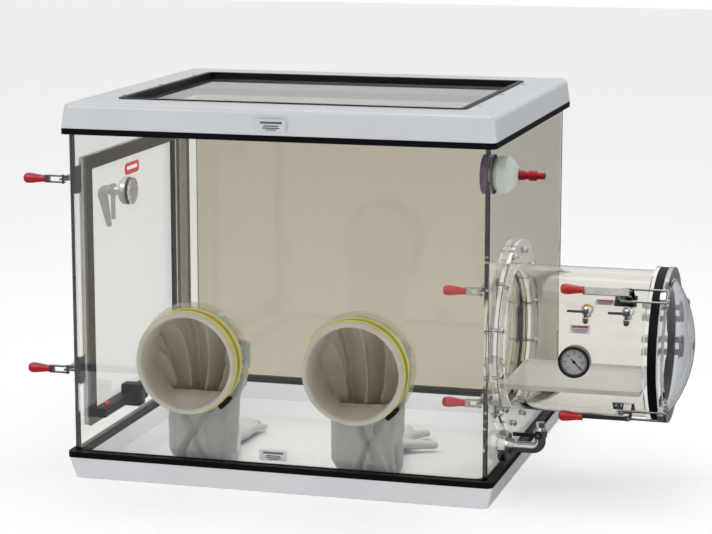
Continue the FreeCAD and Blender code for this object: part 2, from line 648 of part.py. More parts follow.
def transfer_chamber(wall_panel):
    """Tube, wall ring bolted through the right wall, seals, inner door and its clamps."""
    sub_part(ring("tube_outer", "tube_bore", "0", "tube_length - flange_thick"), "transfer_tube")
    plate = ring("ring_outer", "tube_outer + 0.05", "0.05", "ring_thick")
    bolts, holes = [], []
    for index in range(int(amount("bolt_count"))):
        angle = 15 + index * 360 / amount("bolt_count")
        y = f"tube_y + bolt_circle * cos({angle})"
        z = f"tube_z + bolt_circle * sin({angle})"
        shank = rod("bolt_shank", "wall + ring_thick", (f"{HALF_W} - wall", y, z), "x")
        head = turned([(0, 0), ("bolt_head", 0), ("bolt_head", "bolt_head_thick * 0.45"),
                       ("bolt_head * 0.5", "bolt_head_thick"), (0, "bolt_head_thick")],
                      (f"{HALF_W} + ring_thick", y, z), "x")
        nut = rod("bolt_head * 0.85", "bolt_head_thick", (f"{HALF_W} - wall", y, z), "-x")
        bolts.append(join(shank, head, nut))
        holes.append(rod("bolt_shank + 0.05", "wall + ring_thick + 2", (f"{HALF_W} - wall - 1", y, z), "x"))
    sub_part(cut(plate, *holes), "wall_ring")
    sub_part(together(*bolts), "ring_bolts")
    sub_part(cut(wall_panel, *holes), "right_wall")

    inside = "-wall - inner_seal_thick"
    inner_seal = ring("inner_seal_outer", "inner_seal_bore", inside, "-wall")
    end_seal = ring("end_seal_outer", "tube_bore + 2", "tube_length", "tube_length + end_seal_thick")
    sub_part(together(inner_seal, end_seal), "chamber_seals")
    back = "(-wall - inner_seal_thick - fit - door_thick)"
    disc = rod("inner_door_round", "door_thick", (f"{HALF_W} + {back}", "tube_y", "tube_z"), "x")
    pin_y = "(tube_y + inner_door_round + hinge_gap)"
    root = block(f"{HALF_W} + {back} - leaf", f"{HALF_W} - wall", f"{pin_y} + knuckle + 1.5",
                 f"{pin_y} + leaf_width - 4", "tube_z - 55", "tube_z + 55")
    fixed, moving = strap_hinge(f"{HALF_W} + {back} - knuckle", pin_y, "tube_z - 55", "tube_z + 55", 5,
                                f"{HALF_W} + {back} - leaf", root)
    sub_part(fixed, "inner_hinge_fixed")
    strap = block(f"{HALF_W} + {back} - leaf", f"{HALF_W} + {back}", f"{pin_y} - 70",
                  f"{pin_y} - leaf_width + 1", "tube_z - 40", "tube_z + 40")
    sub_part(join(moving, strap), "inner_hinge_leaf")
    sub_part(disc, "inner_door")

    bases = []
    for place, sign in (("low", "-"), ("high", "+")):
        level = f"(tube_z + inner_clamp_level {sign} inner_clamp_rise)"
        base, arm, handle = clamp_pieces(f"({HALF_W} - wall)", "inner_clamp_y", level,
                                         "inner_seal_thick + fit + door_thick", "inner_grip_start")
        bases.append(base)
        sub_part(arm, f"inner_clamp_arm_{place}")
        sub_part(handle, f"inner_clamp_handle_{place}")
    sub_part(together(*bases), "inner_clamp_bases")


def outer_door():
    """Tube flange, end seal, domed door on its hinge, and the keepers."""
    end = "tube_length"
    sub_part(ring("flange_outer", "tube_bore", f"{end} - flange_thick + 0.05", end), "tube_flange")
    seal_end = f"({end} + end_seal_thick)"
    start = f"({seal_end} + fit)"
    rim = f"({start} + dome_rim_thick)"
    dome = doc.addObject("Part::Feature", "Dome")
    bulge, base_round, skin = amount("dome_bulge"), amount("tube_bore"), amount("dome_skin")
    sphere = (base_round ** 2 + bulge ** 2) / (2 * bulge)
    centre = Vector(0, 0, amount(rim) + bulge - sphere)
    cap = Part.makeSphere(sphere, centre).cut(Part.makeSphere(sphere - skin, centre))
    keep = Part.makeCylinder(base_round + 1, bulge + 1, Vector(0, 0, amount(rim)))
    plate = Part.makeCylinder(amount("dome_rim"), amount("dome_rim_thick"), Vector(0, 0, amount(start)))
    bore = Part.makeCylinder(base_round - 2 * skin, amount("dome_rim_thick") + 2,
                             Vector(0, 0, amount(start) - 1))
    dome.Shape = plate.cut(bore).fuse(cap.common(keep)).removeSplitter()
    put(dome, (HALF_W, "tube_y", "tube_z"), TURNS["x"])
    sub_part(dome, "outer_door")

    # The hinge stands behind the tube; its pin is level with the door's rim.
    pin_x = f"({rim} + 6)"
    pin_y = "(flange_outer + 16)"
    fixed, moving = [], []
    for level in (-40, 40):
        low, high = f"{level} - 22", f"{level} + 22"
        for index in range(3):
            z = f"{low} + {index} * 14.8"
            barrel = rod("knuckle + 1.5", "14.2", (pin_x, pin_y, z))
            if index == 1:
                arm = block(f"{rim}", f"{pin_x}", "tube_bore + 3", f"{pin_y}", z, f"{z} + 14.2")
                foot = block(f"{rim}", f"{rim} + 3", "tube_bore + 3", "flange_outer + 6", low, high)
                piece = join(arm, foot, barrel)
                moving.append(cut(piece, rod("hinge_pin + 1 + pin_fit", 60, (pin_x, pin_y, f"{z} - 10"))))
            else:
                arm = block("tube_length - 58", f"{pin_x}", f"{pin_y} - 3", f"{pin_y} + 3", z, f"{z} + 14.2")
                foot = block("tube_length - 58", "tube_length - 20", "tube_outer + 0.5", f"{pin_y}", z,
                             f"{z} + 14.2")
                piece = join(arm, foot, barrel)
                fixed.append(cut(piece, rod("hinge_pin + 1 + pin_fit", 60, (pin_x, pin_y, f"{z} - 10"))))
        fixed.append(rod("hinge_pin + 1", "50", (pin_x, pin_y, f"{low} - 3")))
    sub_part(tube_frame(together(*fixed)), "outer_hinge_fixed")

    keepers = []
    for sign in ("", "-"):
        lug = join(block(f"{rim} - 9 + fit", f"{rim} + 3", "-dome_rim - 17", "-dome_rim", -8, 8),
                   block(f"{rim}", f"{rim} + 3", "-dome_rim - 4", "-dome_rim + 18", -11, 11),
                   rod(4, 4, (f"{rim} + 3", "-dome_rim + 10", 6), "x"),
                   rod(4, 4, (f"{rim} + 3", "-dome_rim + 10", -6), "x"))
        keepers.append(put(lug, (0, 0, 0), Rotation(Vector(1, 0, 0), -amount(f"{sign}latch_angle"))))
    sub_part(tube_frame(together(*moving, *keepers)), "door_fittings")


def pull_latches():
    """Two pull latches: bracket on the tube, lever with grip, wire hook."""
    brackets = []
    pivot = "(tube_outer + latch_rise)"
    hook_at = "(latch_x - hook_back)"
    for place, angle in (("high", "latch_angle"), ("low", "-latch_angle")):
        def span(a0, a1, r0, r1, t0, t1):
            return block(a0, a1, f"-({r1})", f"-({r0})", t0, t1)

        def cross(radius, a, r, half):
            return rod(radius, f"2 * ({half})", (a, f"-({r})", f"-({half})"))

        seat = span("latch_x - 32", "latch_x + 13", "tube_outer", "tube_outer + 3", -13, 13)
        ears = [join(span("latch_x - 8", "latch_x + 8", "tube_outer + 2", pivot, low, high),
                     rod(8, f"{high} - {low}", ("latch_x", f"-{pivot}", low)))
                for low, high in ((-11, -9), (9, 11))]
        pin = cross("latch_pin", "latch_x", pivot, "12.2")
        studs = [rod(3.4, 4, (f"latch_x - {back}", "-(tube_outer + 2)", 0), "-y") for back in (14, 25)]
        brackets.append(tube_frame(join(seat, *ears, pin, *studs), angle))

        cheeks = [cut(join(span(f"{hook_at} - 6", "latch_x", f"{pivot} - 6", f"{pivot} + 8.5", low, high),
                           rod(6, f"{high} - {low}", ("latch_x", f"-{pivot}", low))),
                      cross("latch_pin + pin_fit", "latch_x", pivot, "14"),
                      cross("hook_wire + pin_fit", hook_at, f"{pivot} - 1", "14"))
                  for low, high in ((-8.4, -6), (6, 8.4))]
        strap = span("latch_x - latch_strap", "latch_x", f"{pivot} + 5.5", f"{pivot} + 8.5", -8.4, 8.4)
        grip = grip_body(("latch_x - latch_strap + 4", f"-({pivot} + 10)", 0))
        lever = join(*cheeks, strap, grip)
        sub_part(tube_frame(lever, angle), f"latch_lever_{place}")

        reach = "(keeper_reach + hook_back)"
        wires = [rod("hook_wire", reach, (hook_at, f"-({pivot} - 1)", f"{side}hook_half"), "x")
                 for side in ("-", "")]
        ends = [cross("hook_wire", hook_at, f"{pivot} - 1", "hook_half"),
                cross("hook_wire", f"{hook_at} + {reach}", f"{pivot} - 1", "hook_half")]
        sub_part(tube_frame(join(*wires, *ends), angle), f"latch_hook_{place}")
    sub_part(together(*brackets), "latch_brackets")


def tube_instruments():
    """Vacuum gauge, its needle, two small valves and the loading tray."""
    face = "(tube_outer + 4 + gauge_deep)"
    case = turned([(0, "tube_outer"), (7, "tube_outer"), (7, "tube_outer + 4"),
                   ("gauge_round - 4", "tube_outer + 4"), ("gauge_round", "tube_outer + 9"),
                   ("gauge_round", face), ("gauge_round - 3.5", face),
                   ("gauge_round - 4", f"{face} - 5"), (0, f"{face} - 5")],
                  (f"{HALF_W} + gauge_x", "tube_y", "tube_z - gauge_drop"), "-y")
    sub_part(case, "gauge_case")
    hub_y = f"tube_y - {face} + 5 - gauge_face"
    pin = rod(2.6, 1.6, (f"{HALF_W} + gauge_x", hub_y, "tube_z - gauge_drop"), "-y")
    blade = block("-9", "needle_long", "-0.4", "0.4", "-0.9", "0.9")
    swung = put(together(blade), (f"{HALF_W} + gauge_x", f"{hub_y} - 1", "tube_z - gauge_drop"),
                Rotation(Vector(0, 1, 0), 45))
    sub_part(join(pin, swung), "gauge_needle")

    bodies = []
    for name in ("a", "b"):
        y = "tube_y - (tube_outer + valve_reach) * cos(valve_angle)"
        z = "tube_z + (tube_outer + valve_reach) * sin(valve_angle)"
        x = f"{HALF_W} + valve_{name}_x"
        stem = rod(5, "valve_reach", (f"valve_{name}_x", "-tube_outer", 0), "-y")
        disc = rod(9, "4", (f"valve_{name}_x", "-tube_outer", 0), "-y")
        stub = tube_frame(join(stem, disc), "valve_angle")
        drop = turned([(0, -26), (5, -26), (6.5, -22), (6.5, -15), (5, -13), (5, -9), (7.5, -6),
                       (7.5, 5), (4, 8), (0, 8)], (x, y, z))
        spindle = rod(2, 6, (x, f"{y} - 7", z), "-y")
        bodies.append(join(stub, drop, spindle))
        hub = cut(rod(4, 3, (x, f"{y} - 8.5", z), "-y"), rod(2.05, 20, (x, y, z), "-y"))
        arm = cut(block(f"{x} - 36", x, f"{y} - 11", f"{y} - 9", f"{z} - 2.6", f"{z} + 2.6"),
                  rod(2.05, 20, (x, y, z), "-y"))
        sub_part(join(hub, arm), f"tube_valve_lever_{name}")
    sub_part(together(*bodies), "tube_valves")

    half = "tray_width / 2"
    low = "tube_z - tray_drop"
    x0, x1 = f"{HALF_W} + 4", f"{HALF_W} + 4 + tray_long"
    outer = block(x0, x1, f"tube_y - {half}", f"tube_y + {half}", low, f"{low} + tray_edge")
    hollow = block(f"{x0} + tray_skin", f"{x1} - tray_skin", f"tube_y - {half} + tray_skin",
                   f"tube_y + {half} - tray_skin", f"{low} + tray_skin", f"{low} + tray_edge + 1")
    sub_part(cut(rounded(outer, 6, VERTICAL), hollow), "loading_tray")


# ---------------------------------------------------------------- services
def right_wall_services():
    """Gas port with its coupling, and the drain valve low on the right wall."""
    at = (HALF_W, "gas_y", "gas_z")
    port = turned([(8, "-wall - 14"), ("gas_disc", "-wall - 14"), ("gas_disc", "-wall"), (20, "-wall"),
                   (20, 0), ("gas_body - 6", 0), ("gas_body", 8), ("gas_body", 26),
                   ("gas_body - 5", 34), ("gas_body - 12", 40), (14, 47), (8, 47)], at, "x")
    sub_part(port, "gas_port")
    coupling = turned([(3, 20), (7.9, 20), (7.9, 48), (10, 48), (10, 58), (8, 60), (8, 68),
                       (10.5, 68), (10.5, 82), ("hose_end", 84), ("hose_end", 98), (6, 100), (3, 100)],
                      at, "x")
    sub_part(coupling, "gas_coupling")

    at = (HALF_W, "drain_y", "drain_z")
    boss = turned([(0, "-wall - 4"), (17, "-wall - 4"), (17, "-wall"), ("drain_pipe", "-wall"),
                   ("drain_pipe", 0), ("drain_boss", 0), ("drain_boss", 15), ("drain_boss - 4", 19),
                   (16, 19), (16, 27), ("drain_pipe", 27), ("drain_pipe", 68), (0, 68)], at, "x")
    turn = elbow(15, "drain_pipe", (f"{HALF_W} + 68", "drain_y", "drain_z + 15"),
                 Rotation(Vector(1, 0, 0), 90).multiply(Rotation(Vector(0, 0, 1), -90)))
    riser = turned([(0, 0), ("drain_pipe", 0), ("drain_pipe", 8), (14, 10), (14, 24), (9, 30),
                    (9, 40), (0, 40)], (f"{HALF_W} + 83", "drain_y", "drain_z + 15"))
    stem = rod(4, 12, (f"{HALF_W} + 83", "drain_y - 13", "drain_z + 32"), "-y")
    sub_part(join(boss, turn, riser, stem), "drain_valve")
    stem_at = (f"{HALF_W} + 83", "drain_y - 13", "drain_z + 32")
    hub = cut(rod(8, 6, (f"{HALF_W} + 83", "drain_y - 18", "drain_z + 32"), "-y"),
              rod(4.05, 40, stem_at, "-y"))
    arm = cut(block(f"{HALF_W} + 30", f"{HALF_W} + 83", "drain_y - 23", "drain_y - 19", "drain_z + 28",
                    "drain_z + 36"), rod(4.05, 40, stem_at, "-y"))
    sub_part(join(hub, arm), "drain_lever")


def power_outlet():
    """Outlet strip and socket box on the left wall, with a rocker switch."""
    inside = f"(-{HALF_W} + wall)"
    strip = block(inside, f"{inside} + strip_out", "strip_front", "strip_back", "strip_low", "strip_high")
    socket = block(inside, f"{inside} + socket_out", "socket_front", "socket_front + socket_deep",
                   "socket_low", "socket_high")
    gland = rod(7, 24, (f"{inside} + socket_out - 9", "socket_front + socket_deep", "socket_low + 14"), "y")
    well = block(f"{inside} + 6", f"{inside} + 14.4", "rocker_y - 12", "rocker_y + 12",
                 "strip_high - 8", "strip_high + 1")
    body = join(rounded(strip, 2, runs_along(Vector(0, 1, 0))),
                rounded(socket, 4, runs_along(Vector(0, 1, 0))), gland)
    sub_part(cut(body, well), "outlet_strip")
    rocker = block(f"{inside} + 6.8", f"{inside} + 13.6", "rocker_y - 11", "rocker_y + 11",
                   "strip_high - 5", "strip_high + 7")
    sub_part(rounded(rocker, 2, runs_along(Vector(1, 0, 0))), "rocker_switch")


roof_window(base_and_roof())
right_wall_panel = clear_walls()
glove_ports()
side_door()
transfer_chamber(right_wall_panel)
outer_door()
pull_latches()
tube_instruments()
right_wall_services()
power_outlet()
doc.recompute()

for item in doc.Objects:
    if "Invalid" in item.State or "Error" in item.State:
        raise RuntimeError(f"{item.Name} ({item.Label}) did not compute")
for item in parts:
    if item.Shape.isNull() or not item.Shape.isValid():
        raise RuntimeError(f"{item.Label} has no valid shape")
    if not item.Shape.Solids:
        raise RuntimeError(f"{item.Label} holds no solid")

os.makedirs("parts", exist_ok=True)
for item in parts:
    item.Shape.exportStep(os.path.join("parts", item.Label + ".step"))
    extent = item.Shape.BoundBox
    print(f"{item.Label:26s} solids {len(item.Shape.Solids):2d}  x {extent.XMin:7.1f} {extent.XMax:7.1f}"
          f"  y {extent.YMin:7.1f} {extent.YMax:7.1f}  z {extent.ZMin:7.1f} {extent.ZMax:7.1f}")
print(len(parts), "sub-parts")
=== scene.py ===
import json
import math
import random

import bmesh
import bpy
from mathutils import Matrix, Vector, noise


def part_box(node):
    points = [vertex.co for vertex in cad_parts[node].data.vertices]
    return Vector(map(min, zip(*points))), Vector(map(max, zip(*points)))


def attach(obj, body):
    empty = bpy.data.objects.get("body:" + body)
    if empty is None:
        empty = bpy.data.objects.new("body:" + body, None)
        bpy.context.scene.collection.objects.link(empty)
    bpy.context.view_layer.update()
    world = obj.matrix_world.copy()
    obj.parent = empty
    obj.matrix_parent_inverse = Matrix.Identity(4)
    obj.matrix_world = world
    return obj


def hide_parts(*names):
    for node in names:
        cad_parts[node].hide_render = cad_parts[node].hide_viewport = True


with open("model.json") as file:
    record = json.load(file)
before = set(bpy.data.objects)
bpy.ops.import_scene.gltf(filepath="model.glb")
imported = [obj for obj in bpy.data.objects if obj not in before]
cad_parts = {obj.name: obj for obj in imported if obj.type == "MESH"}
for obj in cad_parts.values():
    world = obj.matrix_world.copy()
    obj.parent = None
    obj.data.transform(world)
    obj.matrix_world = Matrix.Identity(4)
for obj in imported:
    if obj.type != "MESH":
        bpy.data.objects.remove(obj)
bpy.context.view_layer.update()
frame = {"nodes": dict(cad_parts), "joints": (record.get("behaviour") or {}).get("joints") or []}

# The laboratory glove box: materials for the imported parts, the soft gloves,
# and the small pieces that the parts alone don't show.
# Metres throughout; +X right, +Y back, +Z up.

scene = bpy.context.scene
NODES = frame["nodes"]
JOINTS = {joint["name"]: joint for joint in frame["joints"]}

# The two glove ports, placed either side of the middle of the front wall.
PORT_HEIGHT = 0.274
PORT_SPACING = 0.178
WALL_FACE = -0.3835
COLLAR_END = -0.3470
FLOOR = 0.007
ROUND = 128
CREASE_GAIN = 1.25

# The cuff bands' worm screws sit this far round from the bottom, to the right.
WORM_TURN = math.radians(42)
WORM_TEETH = 5

# The black outlet strip and its socket box, along the left wall.
STRIP_FRONT = -0.285
SOCKET_FRONT = -0.141
SOCKET_BACK = -0.115

# The transfer chamber's small valves (in degrees) and latches, round its axis from the front.
VALVE_TURN = 36
LATCH_TURN = math.radians(45)
LATCH_GRIP_REACH = 0.186
GRIP_LENGTH = 0.048


# ------------------------------------------------------------ camera and light
CAMERA_PLACE = Vector((1.4154, -4.7892, 1.3250))
CAMERA_TURN = math.radians(15.766)
CAMERA_DIP = math.radians(10.411)
CAMERA_LENS = 116.84


def make_camera():
    """The viewing angle: from the front right, a little above."""
    data = bpy.data.cameras.new("camera")
    data.lens = CAMERA_LENS
    data.sensor_width = 36
    data.clip_end = 100
    camera = bpy.data.objects.new("camera", data)
    scene.collection.objects.link(camera)
    back = Vector((math.sin(CAMERA_TURN) * math.cos(CAMERA_DIP),
                   -math.cos(CAMERA_TURN) * math.cos(CAMERA_DIP), math.sin(CAMERA_DIP)))
    right = Vector((math.cos(CAMERA_TURN), math.sin(CAMERA_TURN), 0))
    up = back.cross(right)
    turn = Matrix((right, up, back)).transposed().to_4x4()
    camera.matrix_world = Matrix.Translation(CAMERA_PLACE) @ turn
    scene.camera = camera


def area_light(name, place, target, size, power, color=(1, 1, 1)):
    data = bpy.data.lights.new(name, "AREA")
    data.shape = "RECTANGLE"
    data.size, data.size_y = size
    data.energy = power
    data.color = color
    light = bpy.data.objects.new(name, data)
    scene.collection.objects.link(light)
    light.location = place
    light.rotation_euler = (Vector(target) - Vector(place)).to_track_quat("-Z", "Y").to_euler()
    light.visible_camera = False
    light.visible_transmission = False
    return light


def make_studio():
    """White surround, a darker room for mirror reflections, soft lamps and a pale floor."""
    world = bpy.data.worlds.new("studio")
    world.use_nodes = True
    tree = world.node_tree
    backdrop = tree.nodes["Background"]
    backdrop.inputs["Color"].default_value = (1.0, 1.0, 1.0, 1)
    backdrop.inputs["Strength"].default_value = 1.0
    fill = tree.nodes.new("ShaderNodeBackground")
    fill.inputs["Color"].default_value = (0.97, 0.98, 1.0, 1)
    fill.inputs["Strength"].default_value = 0.44
    room = tree.nodes.new("ShaderNodeBackground")
    place = tree.nodes.new("ShaderNodeTexCoord")
    split = tree.nodes.new("ShaderNodeSeparateXYZ")
    link(tree, place.outputs["Generated"], split.inputs["Vector"])
    sky = tree.nodes.new("ShaderNodeValToRGB")
    for position, grey in ((0.30, 0.06), (0.49, 0.12), (0.53, 0.45), (0.62, 0.70), (0.80, 0.95), (1.0, 1.0)):
        stop = sky.color_ramp.elements.new(position)
        stop.color = (grey, grey, grey * 1.02, 1)
    sky.color_ramp.elements.remove(sky.color_ramp.elements[0])
    sky.color_ramp.elements.remove(sky.color_ramp.elements[-1])
    shifted = tree.nodes.new("ShaderNodeMapRange")
    shifted.inputs["From Min"].default_value = -1
    link(tree, split.outputs["Z"], shifted.inputs["Value"])
    link(tree, shifted.outputs["Result"], sky.inputs["Fac"])
    link(tree, sky.outputs["Color"], room.inputs["Color"])
    path = tree.nodes.new("ShaderNodeLightPath")
    mirrored = tree.nodes.new("ShaderNodeMath")
    mirrored.operation = "SUBTRACT"
    mirrored.use_clamp = True
    link(tree, path.outputs["Is Reflection Ray"], mirrored.inputs[0])
    link(tree, path.outputs["Is Diffuse Ray"], mirrored.inputs[1])
    mix = tree.nodes.new("ShaderNodeMixShader")
    link(tree, mirrored.outputs[0], mix.inputs["Fac"])
    link(tree, backdrop.outputs[0], mix.inputs[1])
    link(tree, room.outputs[0], mix.inputs[2])
    soft = tree.nodes.new("ShaderNodeMixShader")
    link(tree, path.outputs["Is Diffuse Ray"], soft.inputs["Fac"])
    link(tree, mix.outputs[0], soft.inputs[1])
    link(tree, fill.outputs[0], soft.inputs[2])
    link(tree, soft.outputs[0], tree.nodes["World Output"].inputs["Surface"])
    scene.world = world
    scene.view_settings.view_transform = "Standard"
    area_light("key", (-2.2, -2.6, 3.4), (0, 0, 0.3), (2.4, 1.6), 26)
    area_light("top", (0.4, 0.6, 3.6), (0, 0, 0.3), (2.6, 2.0), 26)
    area_light("side", (3.6, -0.6, 1.6), (0.3, 0, 0.4), (1.2, 2.0), 9)
    roof_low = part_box("roof_cap")[0]
    lamp = area_light("chamber_lamp", (0, 0.02, roof_low.z - 0.004), (0, 0.02, 0), (0.80, 0.66), 3.6)
    lamp.visible_glossy = False
    mesh = bpy.data.meshes.new("floor")
    edge = 14
    mesh.from_pydata([(-edge, -edge, -0.0005), (edge, -edge, -0.0005), (edge, edge, -0.0005),
                      (-edge, edge, -0.0005)], [], [(0, 1, 2, 3)])
    floor = bpy.data.objects.new("floor", mesh)
    scene.collection.objects.link(floor)
    paper = plain("studio_floor", (0.80, 0.80, 0.80), 0.85)
    paper.node_tree.nodes["Principled BSDF"].inputs["Emission Color"].default_value = (1, 1, 1, 1)
    paper.node_tree.nodes["Principled BSDF"].inputs["Emission Strength"].default_value = 0.42
    mesh.materials.append(paper)
    floor.visible_glossy = False
    scene.cycles.max_bounces = 24
    scene.cycles.glossy_bounces = 10
    scene.cycles.transmission_bounces = 24
    scene.cycles.transparent_max_bounces = 32


# ------------------------------------------------------------ materials
def new_material(name):
    material = bpy.data.materials.new(name)
    material.use_nodes = True
    tree = material.node_tree
    tree.nodes.clear()
    output = tree.nodes.new("ShaderNodeOutputMaterial")
    return material, tree, output


def link(tree, source, target):
    tree.links.new(source, target)


def speckle(tree, scale, detail=3.0, stretch=(1, 1, 1)):
    """A noise value laid over the object's own coordinates."""
    place = tree.nodes.new("ShaderNodeTexCoord")
    mapping = tree.nodes.new("ShaderNodeMapping")
    mapping.inputs["Scale"].default_value = stretch
    grain = tree.nodes.new("ShaderNodeTexNoise")
    grain.inputs["Scale"].default_value = scale
    grain.inputs["Detail"].default_value = detail
    link(tree, place.outputs["Object"], mapping.inputs["Vector"])
    link(tree, mapping.outputs["Vector"], grain.inputs["Vector"])
    return grain.outputs["Fac"]


def spread(tree, value, low, high, start=0.3, stop=0.7):
    """Map a noise value onto a range."""
    ranger = tree.nodes.new("ShaderNodeMapRange")
    ranger.inputs["From Min"].default_value = start
    ranger.inputs["From Max"].default_value = stop
    ranger.inputs["To Min"].default_value = low
    ranger.inputs["To Max"].default_value = high
    link(tree, value, ranger.inputs["Value"])
    return ranger.outputs["Result"]


def mottled(tree, value, dark, light):
    ramp = tree.nodes.new("ShaderNodeValToRGB")
    ramp.color_ramp.elements[0].position = 0.3
    ramp.color_ramp.elements[0].color = (*dark, 1)
    ramp.color_ramp.elements[1].position = 0.7
    ramp.color_ramp.elements[1].color = (*light, 1)
    link(tree, value, ramp.inputs["Fac"])
    return ramp.outputs["Color"]


def shade(color, factor):
    return tuple(min(1.0, channel * factor) for channel in color)


def plain(name, color, roughness):
    """A quiet material, for the stage only."""
    material, tree, output = new_material(name)
    shader = tree.nodes.new("ShaderNodeBsdfPrincipled")
    shader.inputs["Base Color"].default_value = (*color, 1)
    shader.inputs["Roughness"].default_value = roughness
    link(tree, shader.outputs[0], output.inputs["Surface"])
    return material


def surface(name, color, roughness, metallic=0.0, grain=400.0, bump=0.05, depth=0.0002, vary=0.06,
            rough_vary=0.08, stretch=(1, 1, 1), coat=0.0, patch=9.0, gloss=0.5):
    """A moulded, rubber or metal surface: colour patches, uneven gloss and fine grain."""
    material, tree, output = new_material(name)
    shader = tree.nodes.new("ShaderNodeBsdfPrincipled")
    shader.inputs["Metallic"].default_value = metallic
    shader.inputs["Coat Weight"].default_value = coat
    shader.inputs["Coat Roughness"].default_value = 0.06
    shader.inputs["Specular IOR Level"].default_value = gloss
    patches = speckle(tree, patch, 4.0)
    tint = mottled(tree, patches, shade(color, 1 - vary), shade(color, 1 + vary))
    link(tree, tint, shader.inputs["Base Color"])
    fine = speckle(tree, grain, 2.0, stretch)
    link(tree, spread(tree, fine, max(0.02, roughness - rough_vary), roughness + rough_vary),
         shader.inputs["Roughness"])
    relief = tree.nodes.new("ShaderNodeBump")
    relief.inputs["Strength"].default_value = bump
    relief.inputs["Distance"].default_value = depth
    link(tree, fine, relief.inputs["Height"])
    link(tree, relief.outputs["Normal"], shader.inputs["Normal"])
    link(tree, shader.outputs[0], output.inputs["Surface"])
    return material


def acrylic(name, tint, haze=0.0):
    """Clear sheet that bends light for the eye and lets lamps through."""
    material, tree, output = new_material(name)
    glass = tree.nodes.new("ShaderNodeBsdfGlass")
    glass.inputs["Color"].default_value = (*tint, 1)
    glass.inputs["IOR"].default_value = 1.49
    smudge = speckle(tree, 6.0, 5.0)
    link(tree, spread(tree, smudge, 0.0, 0.012, 0.5, 0.8), glass.inputs["Roughness"])
    through = tree.nodes.new("ShaderNodeBsdfTransparent")
    through.inputs["Color"].default_value = (*tint, 1)
    path = tree.nodes.new("ShaderNodeLightPath")
    mix = tree.nodes.new("ShaderNodeMixShader")
    link(tree, path.outputs["Is Shadow Ray"], mix.inputs["Fac"])
    link(tree, glass.outputs[0], mix.inputs[1])
    link(tree, through.outputs[0], mix.inputs[2])
    if haze:
        milk = tree.nodes.new("ShaderNodeBsdfDiffuse")
        milk.inputs["Color"].default_value = (0.80, 0.80, 0.77, 1)
        veil = tree.nodes.new("ShaderNodeMixShader")
        veil.inputs["Fac"].default_value = haze
        link(tree, mix.outputs[0], veil.inputs[1])
        link(tree, milk.outputs[0], veil.inputs[2])
        mix = veil
    link(tree, mix.outputs[0], output.inputs["Surface"])
    return material


def clear_sheet(name, tint):
    """Thin clear wall without bending: see-through, with a faint sheen that grows at grazing angles."""
    material, tree, output = new_material(name)
    through = tree.nodes.new("ShaderNodeBsdfTransparent")
    through.inputs["Color"].default_value = (*tint, 1)
    sheen = tree.nodes.new("ShaderNodeBsdfGlossy")
    smudge = speckle(tree, 9.0, 4.0)
    link(tree, spread(tree, smudge, 0.02, 0.10, 0.4, 0.8), sheen.inputs["Roughness"])
    edge = tree.nodes.new("ShaderNodeFresnel")
    edge.inputs["IOR"].default_value = 1.35
    mix = tree.nodes.new("ShaderNodeMixShader")
    link(tree, edge.outputs[0], mix.inputs["Fac"])
    link(tree, through.outputs[0], mix.inputs[1])
    link(tree, sheen.outputs[0], mix.inputs[2])
    link(tree, mix.outputs[0], output.inputs["Surface"])
    return material


